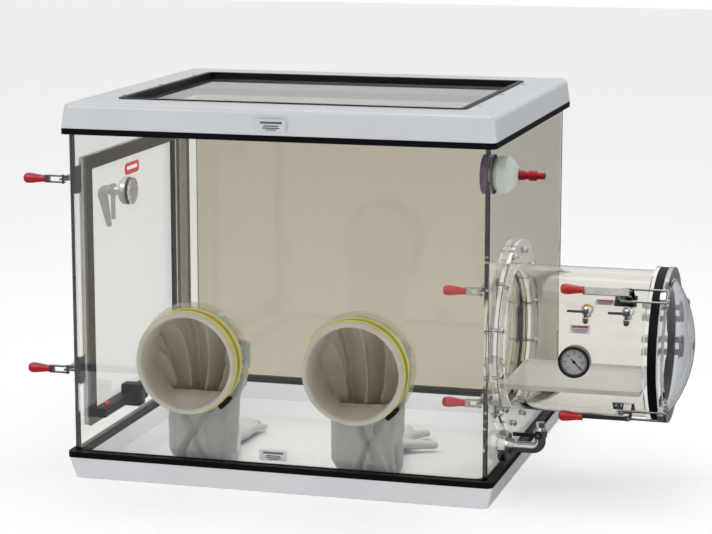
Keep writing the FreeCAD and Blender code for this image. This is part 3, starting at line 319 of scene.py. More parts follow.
def make_materials():
    """Every material of the glove box, by a short name."""
    shop = {}
    shop["shell"] = surface("white_shell", (0.74, 0.77, 0.80), 0.28,
                            grain=900, bump=0.04, vary=0.02, coat=0.3)
    shop["floor_pan"] = surface("pan_white", (0.78, 0.79, 0.81), 0.25,
                                grain=900, bump=0.04, vary=0.025, coat=0.3)
    shop["seal"] = surface("seal_black", (0.004, 0.004, 0.005), 0.50,
                           grain=1500, bump=0.15, vary=0.2, gloss=0.12)
    shop["door_seal"] = surface("door_seal_grey", (0.013, 0.013, 0.018), 0.62,
                                grain=1200, bump=0.3, vary=0.15, gloss=0.12)
    shop["frame"] = surface("window_black", (0.008, 0.008, 0.009), 0.42,
                            grain=900, bump=0.1, vary=0.2, gloss=0.12)
    shop["steel"] = surface("zinc_steel", (0.40, 0.39, 0.37), 0.26, 1.0, grain=700, bump=0.12, vary=0.12,
                            stretch=(1, 1, 6), patch=60)
    shop["chrome"] = surface("chrome_plate", (0.66, 0.66, 0.66), 0.10, 1.0,
                             grain=300, bump=0.03, vary=0.08,
                             rough_vary=0.05, patch=40)
    shop["dark_steel"] = surface("dark_bracket", (0.05, 0.05, 0.052), 0.34, 0.9,
                                 grain=700, bump=0.1, vary=0.2)
    shop["hinge"] = surface("hinge_aluminium", (0.46, 0.47, 0.49), 0.33, 1.0,
                            grain=500, bump=0.1, vary=0.08,
                            stretch=(1, 1, 0.1))
    shop["satin"] = surface("satin_aluminium", (0.80, 0.80, 0.79), 0.42, 1.0,
                            grain=500, bump=0.08, vary=0.05,
                            patch=50)
    shop["grip"] = surface("grip_vinyl", (0.48, 0.008, 0.010), 0.26,
                           grain=800, bump=0.08, vary=0.10, coat=0.5,
                           patch=45)
    shop["latex_in"] = surface("glove_inside", (0.62, 0.56, 0.47), 0.52,
                               grain=260, bump=0.25, depth=0.0005,
                               vary=0.08, patch=14)
    shop["latex_out"] = surface("glove_outside", (0.50, 0.515, 0.50), 0.50,
                                grain=260, bump=0.25, depth=0.0005,
                                vary=0.06, patch=14)
    shop["cuff"] = surface("glove_cuff", (0.56, 0.52, 0.44), 0.48,
                           grain=300, bump=0.2, depth=0.0004, vary=0.07,
                           patch=16)
    shop["yellow"] = surface("band_yellow", (0.74, 0.66, 0.04), 0.35,
                             grain=600, bump=0.06, vary=0.08, patch=30)
    shop["gold"] = surface("band_gold", (0.36, 0.30, 0.10), 0.35, 0.8,
                           grain=600, bump=0.15, vary=0.2, patch=80)
    shop["gas_white"] = surface("gas_body_white", (0.62, 0.66, 0.60), 0.30,
                                grain=500, bump=0.05, vary=0.04,
                                coat=0.2)
    shop["gas_red"] = surface("gas_coupling_red", (0.36, 0.012, 0.018), 0.28, 0.55, grain=600, bump=0.08,
                              vary=0.12, patch=60)
    shop["purple"] = surface("gas_disc_purple", (0.10, 0.03, 0.10), 0.35,
                             grain=600, bump=0.05, vary=0.15)
    shop["gauge"] = surface("gauge_black", (0.012, 0.012, 0.012), 0.25,
                            grain=600, bump=0.05, vary=0.15, coat=0.4, gloss=0.12)
    shop["dial"] = surface("dial_white", (0.80, 0.81, 0.80), 0.5, grain=900, bump=0.02, vary=0.02)
    shop["ink"] = surface("dial_ink", (0.015, 0.015, 0.016), 0.55, grain=900, bump=0.02, vary=0.1)
    shop["tray"] = surface("tray_white", (0.82, 0.82, 0.80), 0.32,
                           grain=700, bump=0.04, vary=0.03, coat=0.2)
    shop["outlet"] = surface("outlet_black", (0.004, 0.004, 0.004), 0.45,
                             grain=900, bump=0.1, vary=0.2, gloss=0.12)
    shop["red_plastic"] = surface("switch_red", (0.55, 0.015, 0.015), 0.25,
                                  grain=500, bump=0.04, vary=0.08)
    shop["brass"] = surface("brass", (0.62, 0.46, 0.12), 0.28, 1.0,
                            grain=500, bump=0.06, vary=0.1, patch=80)
    shop["label"] = surface("label_pale", (0.72, 0.73, 0.74), 0.45, grain=900, bump=0.02, vary=0.02)
    shop["label_ink"] = surface("label_grey", (0.12, 0.13, 0.15), 0.5, grain=900, bump=0.02, vary=0.1)
    shop["label_red"] = surface("label_red", (0.50, 0.03, 0.03), 0.4, grain=900, bump=0.02, vary=0.08)
    shop["clear"] = acrylic("acrylic_clear", (0.98, 0.98, 0.972))
    shop["collar"] = clear_sheet("collar_clear", (0.93, 0.94, 0.92))
    shop["lens"] = clear_sheet("gauge_lens", (0.98, 0.98, 0.98))
    shop["spout"] = surface("spout_grey", (0.10, 0.105, 0.11), 0.28,
                            grain=600, bump=0.08, vary=0.15, coat=0.3,
                            patch=50)
    # Painted shade: the back wall's darker tan tint stands in for the shaded room seen through the back of
    # the box; the wall is the same clear acrylic as the others.
    shop["back_shade_tint"] = acrylic("acrylic_back_shade_tint", (0.72, 0.685, 0.61))
    # Painted shade: the tube's faint tan tint stands in for the shaded room seen through it.
    shop["tube"] = acrylic("acrylic_tube_shade_tint", (0.93, 0.92, 0.90))
    # Painted shade: the dome's darker grey tint stands in for the shaded room seen through it.
    shop["dome"] = acrylic("acrylic_dome_shade_tint", (0.87, 0.875, 0.885))
    shop["door"] = acrylic("acrylic_door", (0.955, 0.955, 0.95), haze=0.10)
    return shop


MATERIAL_OF = {
    "base_pan": "floor_pan", "roof_cap": "shell", "base_seal": "seal", "roof_seal": "seal",
    "chamber_seals": "seal",
    "window_frame": "frame", "window_pane": "clear", "front_wall": "clear", "back_wall": "back_shade_tint",
    "left_wall": "clear",
    "right_wall": "clear", "port_collars": "collar", "side_door": "door", "transfer_tube": "tube",
    "wall_ring": "clear", "inner_door": "clear", "tube_flange": "clear", "outer_door": "dome",
    "side_door_seal": "door_seal", "side_hinge_fixed": "hinge", "side_hinge_leaf": "hinge",
    "inner_hinge_fixed": "hinge", "inner_hinge_leaf": "hinge", "outer_hinge_fixed": "satin",
    "door_fittings": "satin",
    "purge_valve": "chrome", "purge_lever": "spout", "tube_valves": "chrome", "tube_valve_lever_a": "chrome",
    "tube_valve_lever_b": "chrome", "drain_valve": "chrome", "drain_lever": "dark_steel",
    "gauge_case": "gauge", "gauge_needle": "ink", "loading_tray": "tray", "gas_port": "gas_white",
    "gas_coupling": "gas_red", "outlet_strip": "outlet", "rocker_switch": "red_plastic",
    "latch_brackets": "dark_steel", "cuff_clamps": "yellow", "ring_bolts": "chrome",
    "window_screws": "steel",
}


def dress_parts(shop):
    """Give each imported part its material; a few parts carry two."""
    for name, item in NODES.items():
        material = shop[MATERIAL_OF.get(name, "steel")]
        item.data.materials.clear()
        item.data.materials.append(material)
    tube_low, tube_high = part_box("transfer_tube")
    wall_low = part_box("right_wall")[0]
    valve_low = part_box("purge_valve")[0]
    two_tone("purge_valve", shop["spout"], lambda at: at.x < valve_low.x + 0.036)
    two_tone("latch_brackets", shop["chrome"], lambda at: at.z < (tube_low.z + tube_high.z) / 2)
    band_low, band_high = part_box("cuff_clamps")
    band_reach = (band_high.x - band_low.x) / 2 - PORT_SPACING + 0.0008
    two_tone("cuff_clamps", shop["dark_steel"],
             lambda at: math.hypot(abs(at.x) - PORT_SPACING, at.z - PORT_HEIGHT) > band_reach)
    two_tone("gas_port", shop["purple"], lambda at: at.x < wall_low.x + 0.0006)


def two_tone(name, material, chosen):
    """Give the chosen faces of a part a second material."""
    item = NODES[name]
    item.data.materials.append(material)
    for polygon in item.data.polygons:
        if chosen(item.matrix_world @ polygon.center):
            polygon.material_index = 1


# ------------------------------------------------------------ mesh helpers
def mesh_piece(name, verts, faces, material, body, smooth=True):
    mesh = bpy.data.meshes.new(name)
    mesh.from_pydata([tuple(v) for v in verts], [], faces)
    mesh.validate()
    piece = bpy.data.objects.new(name, mesh)
    scene.collection.objects.link(piece)
    mesh.materials.append(material)
    if smooth:
        mesh.polygons.foreach_set("use_smooth", [True] * len(mesh.polygons))
    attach(piece, body)
    return piece


def frame_at(origin, axis, side=None):
    """A placement whose Z is axis."""
    axis = Vector(axis).normalized()
    side = Vector(side) if side else (Vector((0, 0, 1)) if abs(axis.z) < 0.9 else Vector((1, 0, 0)))
    x = (side - axis * side.dot(axis)).normalized()
    y = axis.cross(x)
    return Matrix.Translation(Vector(origin)) @ Matrix((x, y, axis)).transposed().to_4x4()


def lathe(name, profile, place, material, body, steps=64, closed=True):
    """Turn (radius, height) pairs about the placement's Z."""
    verts, faces = [], []
    for radius, height in profile:
        for k in range(steps):
            angle = 2 * math.pi * k / steps
            verts.append(place @ Vector((radius * math.cos(angle), radius * math.sin(angle), height)))
    rows = len(profile)
    for i in range(rows if closed else rows - 1):
        j = (i + 1) % rows
        for k in range(steps):
            n = (k + 1) % steps
            faces.append((i * steps + k, i * steps + n, j * steps + n, j * steps + k))
    return mesh_piece(name, verts, faces, material, body)


def solid_of(name, material, body, build, bevel=0.0, segments=2):
    """A bmesh piece with bevelled edges; build fills the bmesh."""
    shape = bmesh.new()
    build(shape)
    mesh = bpy.data.meshes.new(name)
    shape.to_mesh(mesh)
    shape.free()
    piece = bpy.data.objects.new(name, mesh)
    scene.collection.objects.link(piece)
    mesh.materials.append(material)
    if bevel:
        soften = piece.modifiers.new("soften", "BEVEL")
        soften.width = bevel
        soften.segments = segments
    mesh.polygons.foreach_set("use_smooth", [True] * len(mesh.polygons))
    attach(piece, body)
    return piece


def slab(name, place, size, material, body, bevel=0.0003, round_corner=0.0):
    """A thin rounded plate, centred on the placement."""
    half_x, half_y, half_z = (extent / 2 for extent in size)

    def build(shape):
        corners = []
        radius = max(round_corner, 1e-5)
        for cx, cy, start in ((1, 1, 0), (-1, 1, 90), (-1, -1, 180), (1, -1, 270)):
            for step in range(6):
                angle = math.radians(start + step * 18)
                corners.append((cx * (half_x - radius) + radius * math.cos(angle),
                                cy * (half_y - radius) + radius * math.sin(angle)))
        low = [shape.verts.new(place @ Vector((x, y, -half_z))) for x, y in corners]
        high = [shape.verts.new(place @ Vector((x, y, half_z))) for x, y in corners]
        shape.faces.new(high)
        shape.faces.new(list(reversed(low)))
        count = len(corners)
        for k in range(count):
            shape.faces.new((low[k], low[(k + 1) % count], high[(k + 1) % count], high[k]))

    return solid_of(name, material, body, build, bevel)


# ------------------------------------------------------------ grips
def grip(name, start, direction, body, shop):
    """Dipped vinyl grip: thin neck, swelling barrel, rounded end and a lip at its mouth."""
    profile = [(0.0058, 0.0006), (0.0074, 0.0004), (0.0080, 0.0016), (0.0078, 0.0032), (0.0072, 0.0046),
               (0.0076, 0.0100), (0.0086, 0.0180), (0.0098, 0.0260), (0.0107, 0.0330), (0.0110, 0.0385),
               (0.0108, 0.0420), (0.0096, 0.0455), (0.0078, 0.0480), (0.0050, 0.0492), (0.0, 0.0496)]
    return lathe(name, profile, frame_at(start, direction), shop["grip"], body, 40, closed=False)


def clamp_grips(shop):
    """Vinyl over the end of each clamp handle and each door latch lever."""
    tube_low, tube_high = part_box("transfer_tube")
    axis = (tube_low + tube_high) / 2
    for place in ("low", "high"):
        for side in ("side", "inner"):
            node = f"{side}_clamp_handle_{place}"
            pivot = JOINTS[f"{node}_pivot"]["pos_m"]
            start = (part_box(node)[0].x + GRIP_LENGTH, pivot[1], pivot[2])
            grip(f"{node}_grip", start, (-1, 0, 0), node, shop)
        node = f"latch_lever_{place}"
        sign = 1 if place == "high" else -1
        radial = Vector((0, -math.cos(LATCH_TURN), sign * math.sin(LATCH_TURN)))
        start = Vector((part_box(node)[0].x + GRIP_LENGTH, axis.y, axis.z)) + radial * LATCH_GRIP_REACH
        grip(f"{node}_grip", start, (-1, 0, 0), node, shop)


# ------------------------------------------------------------ gloves
def eased(t):
    t = min(1.0, max(0.0, t))
    return t * t * (3 - 2 * t)


def between(a, b, t):
    return a + (b - a) * t


def turn_gap(a, b):
    """The signed gap between two angles, from -pi to pi."""
    return (a - b + math.pi) % (2 * math.pi) - math.pi


def cuff_rows():
    """Radius, forward distance and pucker of each ring of the folded cuff, from its hem inward."""
    return [(0.1048, 0.0082, 0.3), (0.1062, 0.0088, 1.0), (0.1065, 0.0135, 1.0), (0.1060, 0.0180, 0.6),
            (0.1056, 0.0200, 0.0), (0.1056, 0.0332, 0.0), (0.1062, 0.0350, 0.6), (0.1068, 0.0400, 1.0),
            (0.1066, 0.0460, 1.0), (0.1060, 0.0505, 0.7), (0.1052, 0.0535, 0.5), (0.1038, 0.0550, 0.4),
            (0.1018, 0.0550, 0.4), (0.0996, 0.0541, 0.4), (0.0976, 0.0528, 0.4), (0.0964, 0.0505, 0.6),
            (0.0960, 0.0470, 0.8)]


def crease_depth(creases, angle, along):
    """How far the sleeve wall is pushed in (minus) or out (plus) by its creases."""
    total = 0.0
    for at, slant, width, depth, start, stop in creases:
        if along < start or along > stop:
            continue
        share = (along - start) / (stop - start)
        strength = eased(share / 0.25) * eased((1 - share) / 0.30)
        gap = abs(turn_gap(angle, at + slant * share)) / width
        if gap < 3:
            ridge = math.exp(-gap * 1.7) - 0.15 * math.exp(-(gap - 1.7) ** 2 * 3)
            total += CREASE_GAIN * depth * strength * ridge
    return total


def sleeve_rows(side, drift, reach, heel, lip):
    """Ring after ring down the sleeve: centre, tilt of its up side, half width, half depth, flat share."""
    rows = []
    x = side * PORT_SPACING
    bore = 0.0950
    for k in range(8):
        t = k / 7
        rows.append((Vector((x, between(-0.4290, -0.3520, t), PORT_HEIGHT)), 0.0, bore, bore,
                     between(0.02, 1 - lip / bore, eased(t))))
    hinge_y, hinge_z = -0.3480, PORT_HEIGHT - lip
    for k in range(1, 27):
        t = k / 26
        tilt = math.radians(90) * t ** 1.1
        deep = between(bore, 0.0420, eased(t ** 0.8))
        wide = between(bore, 0.0790, eased(t))
        flat = between(1 - lip / bore, 0.55, t)
        lift = deep * (1 - flat)
        centre = Vector((x + 0.004 * t, hinge_y + lift * math.sin(tilt), hinge_z + lift * math.cos(tilt)))
        rows.append((centre, tilt, wide, deep, flat))
    last = rows[-1]
    drop = 26
    for k in range(1, drop + 1):
        t = k / drop
        centre = Vector((last[0].x + heel * t, last[0].y + 0.010 * t, between(hinge_z, 0.066, t)))
        rows.append((centre, math.radians(90), between(0.0790, 0.0760, t), between(0.0420, 0.0450, t),
                     between(0.55, 0.40, t)))
    last = rows[-1]
    for k in range(1, 12):
        t = k / 11
        tilt = math.radians(90) * (1 - t)
        deep = between(0.0450, 0.0240, eased(t))
        centre = Vector((last[0].x + drift * 0.1 * t, last[0].y + 0.055 * t,
                         between(last[0].z, FLOOR + 0.0245, math.sin(math.radians(90) * t))))
        rows.append((centre, tilt, between(0.0760, 0.0600, t), deep, between(0.40, 0.20, t)))
    last = rows[-1]
    for k in range(1, 22):
        t = k / 21
        deep = between(0.0240, 0.0170, t)
        rows.append((Vector((last[0].x + drift * t, last[0].y + reach * t, FLOOR + deep + 0.0025)), 0.0,
                     between(0.0600, 0.0340, eased(t)), deep, 0.2))
    return rows


def ring_point(row, angle, push):
    """A point of a sleeve ring; angle 0 is its low side, which is pressed flatter."""
    centre, tilt, wide, deep, flat = row
    up = Vector((0, math.sin(tilt), math.cos(tilt)))
    rise = -math.cos(angle)
    floor_line = -1 + flat
    if rise < floor_line + 0.12:
        rise = between(rise, floor_line + 0.02 * (rise + 1), eased((floor_line + 0.12 - rise) / 0.30))
    return centre + Vector((1, 0, 0)) * math.sin(angle) * (wide + push) + up * rise * (deep + push)


def glove(name, side, drift, reach, heel, lip, seed, creases, fingers, shop):
    """Folded cuff, creased sleeve and hand of one long glove.

    side is -1 or 1. drift and reach carry the forearm across and back along the floor,
    heel moves the foot of the hanging sleeve sideways, and lip is the drop from the
    port's middle to the fold.
    """
    rng = random.Random(seed)
    verts, faces = [], []
    waves = [(rng.uniform(0, 6.28), rng.randint(9, 26), rng.uniform(0.2, 1.0)) for _ in range(6)]
    x = side * PORT_SPACING
    for radius, out, pucker in cuff_rows():
        for k in range(ROUND):
            angle = 2 * math.pi * k / ROUND
            ripple = sum(size * math.sin(count * angle + phase) for phase, count, size in waves)
            swell = pucker * 0.00028 * ripple
            sway = 0.0010 * math.sin(3 * angle + seed) * pucker
            verts.append((x + (radius + swell) * math.sin(angle), WALL_FACE - out + sway,
                          PORT_HEIGHT - (radius + swell) * math.cos(angle)))
    rows = sleeve_rows(side, drift, reach, heel, lip)
    total = len(rows)
    for number, row in enumerate(rows):
        along = number / (total - 1)
        for k in range(ROUND):
            angle = 2 * math.pi * k / ROUND
            push = crease_depth(creases, angle, along)
            fade = eased(number / 7)
            place = Vector((math.sin(angle) * 2.2 + seed, along * 11, math.cos(angle) * 2.2))
            crumple = noise.noise(place * 1.6) * 0.0035 + abs(noise.noise(place * 3.7)) * 0.0030
            bulge = (push + crumple - 0.002) * fade
            if row[0].y < COLLAR_END:
                bulge = min(bulge, 0.0)
            verts.append(ring_point(row, angle, bulge))
    count = len(verts) // ROUND
    for j in range(count - 1):
        for k in range(ROUND):
            n = (k + 1) % ROUND
            faces.append((j * ROUND + k, (j + 1) * ROUND + k, (j + 1) * ROUND + n, j * ROUND + n))
    faces.append(tuple((count - 1) * ROUND + k for k in reversed(range(ROUND))))
    for index, point in enumerate(verts):
        if point[2] < FLOOR + 0.0022:
            verts[index] = (point[0], point[1], FLOOR + 0.0022)
    sleeve = mesh_piece(name, verts, faces, shop["latex_out"], "housing")
    sleeve.data.materials.append(shop["latex_in"])
    sleeve.data.materials.append(shop["cuff"])
    cuff_faces = len(cuff_rows()) * ROUND
    for number, polygon in enumerate(sleeve.data.polygons):
        if number < cuff_faces:
            polygon.material_index = 2
    thick = sleeve.modifiers.new("thickness", "SOLIDIFY")
    thick.thickness = 0.0014
    thick.offset = 0
    thick.material_offset = 1
    smooth = sleeve.modifiers.new("smooth", "SUBSURF")
    smooth.levels = 1
    smooth.render_levels = 1
    wrist = rows[-1][0]
    hand(name + "_hand", wrist, fingers, shop)
    return sleeve


def hand(name, wrist, fingers, shop):
    """Palm and five slack fingers, melted into one skin."""
    shape = bmesh.new()
    lumps = [(wrist + Vector((0, -0.010, 0)), wrist + Vector((0, 0.034, 0.001)), 0.031, 0.043, 0.52),
             (wrist + Vector((0, 0.034, 0.001)), wrist + Vector((0, 0.082, 0.001)), 0.043, 0.045, 0.44)]
    for base_x, base_y, heading, long, thick in fingers:
        start = wrist + Vector((base_x, base_y, 0.000))
        bend = math.radians(heading)
        stop = start + Vector((math.sin(bend), math.cos(bend), 0)) * long
        stop.z = FLOOR + thick + 0.0015
        lumps.append((start, stop, thick * 1.05, thick * 0.86, 0.85))
    for start, stop, first, last, squeeze in lumps:
        steps = 9
        for step in range(steps + 1):
            t = step / steps
            centre = start.lerp(stop, t)
            radius = between(first, last, t)
            ball = bmesh.ops.create_icosphere(shape, subdivisions=2, radius=radius)
            for vertex in ball["verts"]:
                vertex.co.z *= squeeze
                vertex.co += centre
    mesh = bpy.data.meshes.new(name)
    shape.to_mesh(mesh)
    shape.free()
    rough = bpy.data.objects.new(name + "_rough", mesh)
    scene.collection.objects.link(rough)
    melt = rough.modifiers.new("melt", "REMESH")
    melt.mode = "VOXEL"
    melt.voxel_size = 0.0032
    relax = rough.modifiers.new("relax", "SMOOTH")
    relax.iterations = 8
    relax.factor = 0.6
    graph = bpy.context.evaluated_depsgraph_get()
    skin = bpy.data.meshes.new_from_object(rough.evaluated_get(graph))
    bpy.data.objects.remove(rough, do_unlink=True)
    for vertex in skin.vertices:
        wrinkle = noise.noise(vertex.co * 55) * 0.0012 + abs(noise.noise(vertex.co * 120)) * 0.0008
        vertex.co.z = max(FLOOR + 0.0012, vertex.co.z + wrinkle)
    skin.materials.clear()
    skin.materials.append(shop["latex_out"])
    skin.polygons.foreach_set("use_smooth", [True] * len(skin.polygons))
    piece = bpy.data.objects.new(name, skin)
    scene.collection.objects.link(piece)
    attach(piece, "housing")
    return piece


def gloves(shop):
    """The two gloves. A crease is its angle, slant, width, depth, start and end along the sleeve."""
    top = math.pi
    left_creases = [
        (top - 1.25, 0.45, 0.13, 0.020, 0.03, 0.46), (top - 0.88, 0.40, 0.15, -0.026, 0.03, 0.50),
        (top - 0.50, 0.30, 0.12, 0.026, 0.04, 0.50), (top - 0.10, 0.12, 0.20, -0.034, 0.05, 0.52),
        (top + 0.34, -0.05, 0.15, 0.022, 0.04, 0.50), (top + 0.75, -0.15, 0.12, -0.016, 0.04, 0.46),
        (top + 1.10, -0.25, 0.12, 0.014, 0.04, 0.44), (top - 1.65, 0.55, 0.12, -0.016, 0.04, 0.42),
        (top + 1.60, -0.35, 0.14, -0.014, 0.05, 0.42), (0.62, -1.5, 0.09, -0.024, 0.34, 0.74),
        (-0.75, 1.2, 0.10, -0.020, 0.38, 0.80), (0.9, -0.6, 0.12, 0.010, 0.42, 0.78),
        (-0.2, 0.5, 0.10, 0.008, 0.38, 0.66), (2.2, 0.9, 0.16, -0.014, 0.60, 0.95),
        (3.5, -0.7, 0.14, -0.012, 0.60, 0.96),
    ]
    right_creases = [
        (top - 1.40, 0.40, 0.13, -0.016, 0.03, 0.46), (top - 1.00, 0.30, 0.14, 0.022, 0.04, 0.48),
        (top - 0.58, 0.22, 0.13, -0.022, 0.04, 0.50), (top - 0.22, 0.10, 0.12, 0.022, 0.05, 0.52),
        (top + 0.16, -0.04, 0.20, -0.036, 0.04, 0.54), (top + 0.60, -0.12, 0.13, 0.022, 0.04, 0.50),
        (top + 1.02, -0.22, 0.12, -0.014, 0.05, 0.46), (top + 1.50, -0.30, 0.14, 0.010, 0.05, 0.42),
        (-0.45, 0.9, 0.10, -0.022, 0.34, 0.68), (0.62, -0.9, 0.10, -0.020, 0.35, 0.74),
        (0.05, 0.9, 0.14, 0.014, 0.42, 0.82), (1.1, 0.5, 0.14, -0.012, 0.50, 0.90),
        (2.6, 0.7, 0.16, -0.014, 0.62, 0.95), (3.7, -0.6, 0.14, -0.012, 0.60, 0.96),
    ]
    left_fingers = [(-0.036, 0.018, -55, 0.056, 0.0135), (-0.030, 0.088, -18, 0.062, 0.0115),
                    (-0.010, 0.098, -6, 0.070, 0.0120), (0.012, 0.095, 4, 0.064, 0.0115),
                    (0.030, 0.082, 14, 0.050, 0.0108)]
    right_fingers = [(0.036, 0.014, 64, 0.062, 0.0135), (0.030, 0.086, 20, 0.060, 0.0115),
                     (0.010, 0.098, -8, 0.074, 0.0120), (-0.012, 0.094, -18, 0.068, 0.0115),
                     (-0.032, 0.080, -30, 0.052, 0.0108)]
    left = glove("glove_left_skin", -1, -0.030, 0.200, -0.006, 0.078, 3, left_creases, left_fingers, shop)
    right = glove("glove_right_skin", 1, -0.026, 0.225, -0.004, 0.084, 8, right_creases, right_fingers, shop)
    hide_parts("glove_left", "glove_cuffs")
    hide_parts("glove_right")


# ------------------------------------------------------------ small fittings
def plate(name, place, size, lines, material, shop, body):
    """A small generic label: rounded plate with plain bars in place of words."""
    slab(name, place, (*size, 0.0008), material, body, 0.0001, min(size) * 0.12)
    for number, (offset, long, thick) in enumerate(lines):
        at = place @ Matrix.Translation((0, offset * size[1], 0.0006))
        bar = (long * size[0], thick * size[1], 0.0004)
        slab(f"{name}_line_{number}", at, bar, shop["label_ink"], body, 0.0)


def facing(centre, right, up):
    """A placement lying in the plane of right and up, its Z toward the viewer of the plate."""
    right, up = Vector(right).normalized(), Vector(up).normalized()
    return Matrix.Translation(Vector(centre)) @ Matrix((right, up, right.cross(up))).transposed().to_4x4()


def labels(shop):
    """Generic plates, the door's red sticker and the two labels on the transfer chamber."""
    lines = [(0.22, 0.72, 0.17), (-0.05, 0.50, 0.09), (-0.22, 0.56, 0.09), (-0.36, 0.34, 0.07)]
    cap_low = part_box("roof_cap")[0]
    wall_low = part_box("front_wall")[0]
    plate("cap_plate", facing((-0.0015, cap_low.y - 0.0004, cap_low.z + 0.0205), (1, 0, 0), (0, 0, 1)),
          (0.063, 0.025), lines, shop["label"], shop, "housing")
    plate("wall_plate", facing((-0.006, wall_low.y - 0.0004, wall_low.z + 0.0265), (1, 0, 0), (0, 0, 1)),
          (0.060, 0.023), lines, shop["label"], shop, "housing")
    door_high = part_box("side_door")[1]
    purge_low, purge_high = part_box("purge_valve")
    at = facing((door_high.x + 0.0005, (purge_low.y + purge_high.y) / 2 + 0.004, purge_high.z + 0.020),
                (0, 1, 0), (0, 0, 1))
    slab("door_sticker", at, (0.086, 0.026, 0.0006), shop["label_red"], "side_door", 0.0001, 0.010)
    slab("door_sticker_bar", at @ Matrix.Translation((0, 0.001, 0.0005)), (0.060, 0.008, 0.0004),
         shop["label"], "side_door")
    tube_label("valve_label", 0.610, 20, (0.042, 0.018), shop)
    tube_label("latch_label", 0.655, 43, (0.040, 0.013), shop)


def tube_point(along, angle, radius):
    """A point round the transfer chamber: 0 degrees faces the front, 90 the top."""
    low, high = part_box("transfer_tube")
    middle = (low + high) / 2
    turn = math.radians(angle)
    return Vector((along, middle.y - radius * math.cos(turn), middle.z + radius * math.sin(turn)))


def tube_label(name, along, angle, size, shop):
    """A label bent round the tube, with a red heading bar and fine grey bars."""
    low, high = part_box("transfer_tube")
    radius = (high.z - low.z) / 2
    for part, lift, material, bars in (
            ("", 0.0005, "label", [(0.0, 1.0, 1.0)]),
            ("_head", 0.0009, "label_red", [(0.27, 0.80, 0.26)]),
            ("_text", 0.0009, "label_ink", [(0.0, 0.80, 0.07), (-0.16, 0.74, 0.07), (-0.32, 0.60, 0.07)])):
        verts, faces = [], []
        for offset, long, thick in bars:
            start = len(verts)
            steps = 8
            for k in range(steps + 1):
                turn = angle + math.degrees((offset + thick * (k / steps - 0.5)) * size[1] / radius)
                for x_side in (-0.5, 0.5):
                    verts.append(tube_point(along + x_side * long * size[0], turn, radius + lift))
            for k in range(steps):
                a = start + 2 * k
                faces.append((a, a + 2, a + 3, a + 1))
        piece = mesh_piece(name + part, verts, faces, shop[material], "housing", smooth=False)
        thick_skin = piece.modifiers.new("thickness", "SOLIDIFY")
        thick_skin.thickness = 0.0003


def dome_screw(name, at, axis, radius, shop, body, metal="chrome"):
    """A low domed head with a small round recess."""
    profile = [(radius * 1.05, 0.0), (radius, radius * 0.28), (radius * 0.80, radius * 0.50),
               (radius * 0.45, radius * 0.62), (radius * 0.20, radius * 0.64), (radius * 0.16, radius * 0.40),
               (0.0, radius * 0.38)]
    return lathe(name, profile, frame_at(at, axis), shop[metal], body, 24, closed=False)


def screws(shop):
    """Heads along both straps of the side door's hinge."""
    low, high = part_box("side_hinge_fixed")
    count = 9
    for k in range(count):
        z = low.z + (high.z - low.z) * (k + 0.5) / count
        at = (low.x + 0.0092, high.y - 0.0085, z)
        dome_screw(f"hinge_screw_{k}", at, (-1, 0, 0), 0.0030, shop, "housing")
    low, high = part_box("side_hinge_leaf")
    for k in range(count):
        z = low.z + (high.z - low.z) * (k + 0.5) / count
        at = (low.x + 0.0085, low.y + 0.0075, z)
        dome_screw(f"leaf_screw_{k}", at, (-1, 0, 0), 0.0030, shop, "side_door")


def band_details(shop):
    """Wide yellow band with a gold core round each cuff, and its slotted worm screw."""
    low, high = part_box("cuff_clamps")
    middle_y = (low.y + high.y) / 2
    for side, name in ((-1, "left"), (1, "right")):
        centre = Vector((side * PORT_SPACING, middle_y, PORT_HEIGHT))
        radius = high.x - PORT_SPACING
        place = frame_at(centre, (0, 1, 0))
        wide = [(radius - 0.0010, -0.0190), (radius + 0.0006, -0.0186), (radius + 0.0012, -0.0165),
                (radius + 0.0011, -0.0120), (radius + 0.0004, -0.0100), (radius + 0.0003, 0.0060),
                (radius + 0.0011, 0.0080), (radius + 0.0012, 0.0135), (radius + 0.0006, 0.0158),
                (radius - 0.0010, 0.0162)]
        lathe(f"band_yellow_{name}", wide, place, shop["yellow"], "housing", 120, closed=False)
        core = [(radius + 0.0002, -0.0092), (radius + 0.0008, -0.0084), (radius + 0.0008, 0.0046),
                (radius + 0.0002, 0.0054)]
        lathe(f"band_gold_{name}", core, place, shop["gold"], "housing", 120, closed=False)
        out = Vector((math.sin(WORM_TURN), 0, -math.cos(WORM_TURN)))
        along = Vector((math.cos(WORM_TURN), 0, math.sin(WORM_TURN)))
        block_at = facing(centre + out * (radius + 0.0052), (0, 1, 0), along)
        case = (0.0150, 0.0270, 0.0116)
        slab(f"worm_case_{name}", block_at, case, shop["dark_steel"], "housing", 0.0012, 0.002)
        tooth = (0.0100, 0.0016, 0.0014)
        for k in range(WORM_TEETH):
            groove = block_at @ Matrix.Translation((0, -0.009 + 0.0045 * k, 0.0060))
            slab(f"worm_tooth_{name}_{k}", groove, tooth, shop["steel"], "housing", 0.0002)


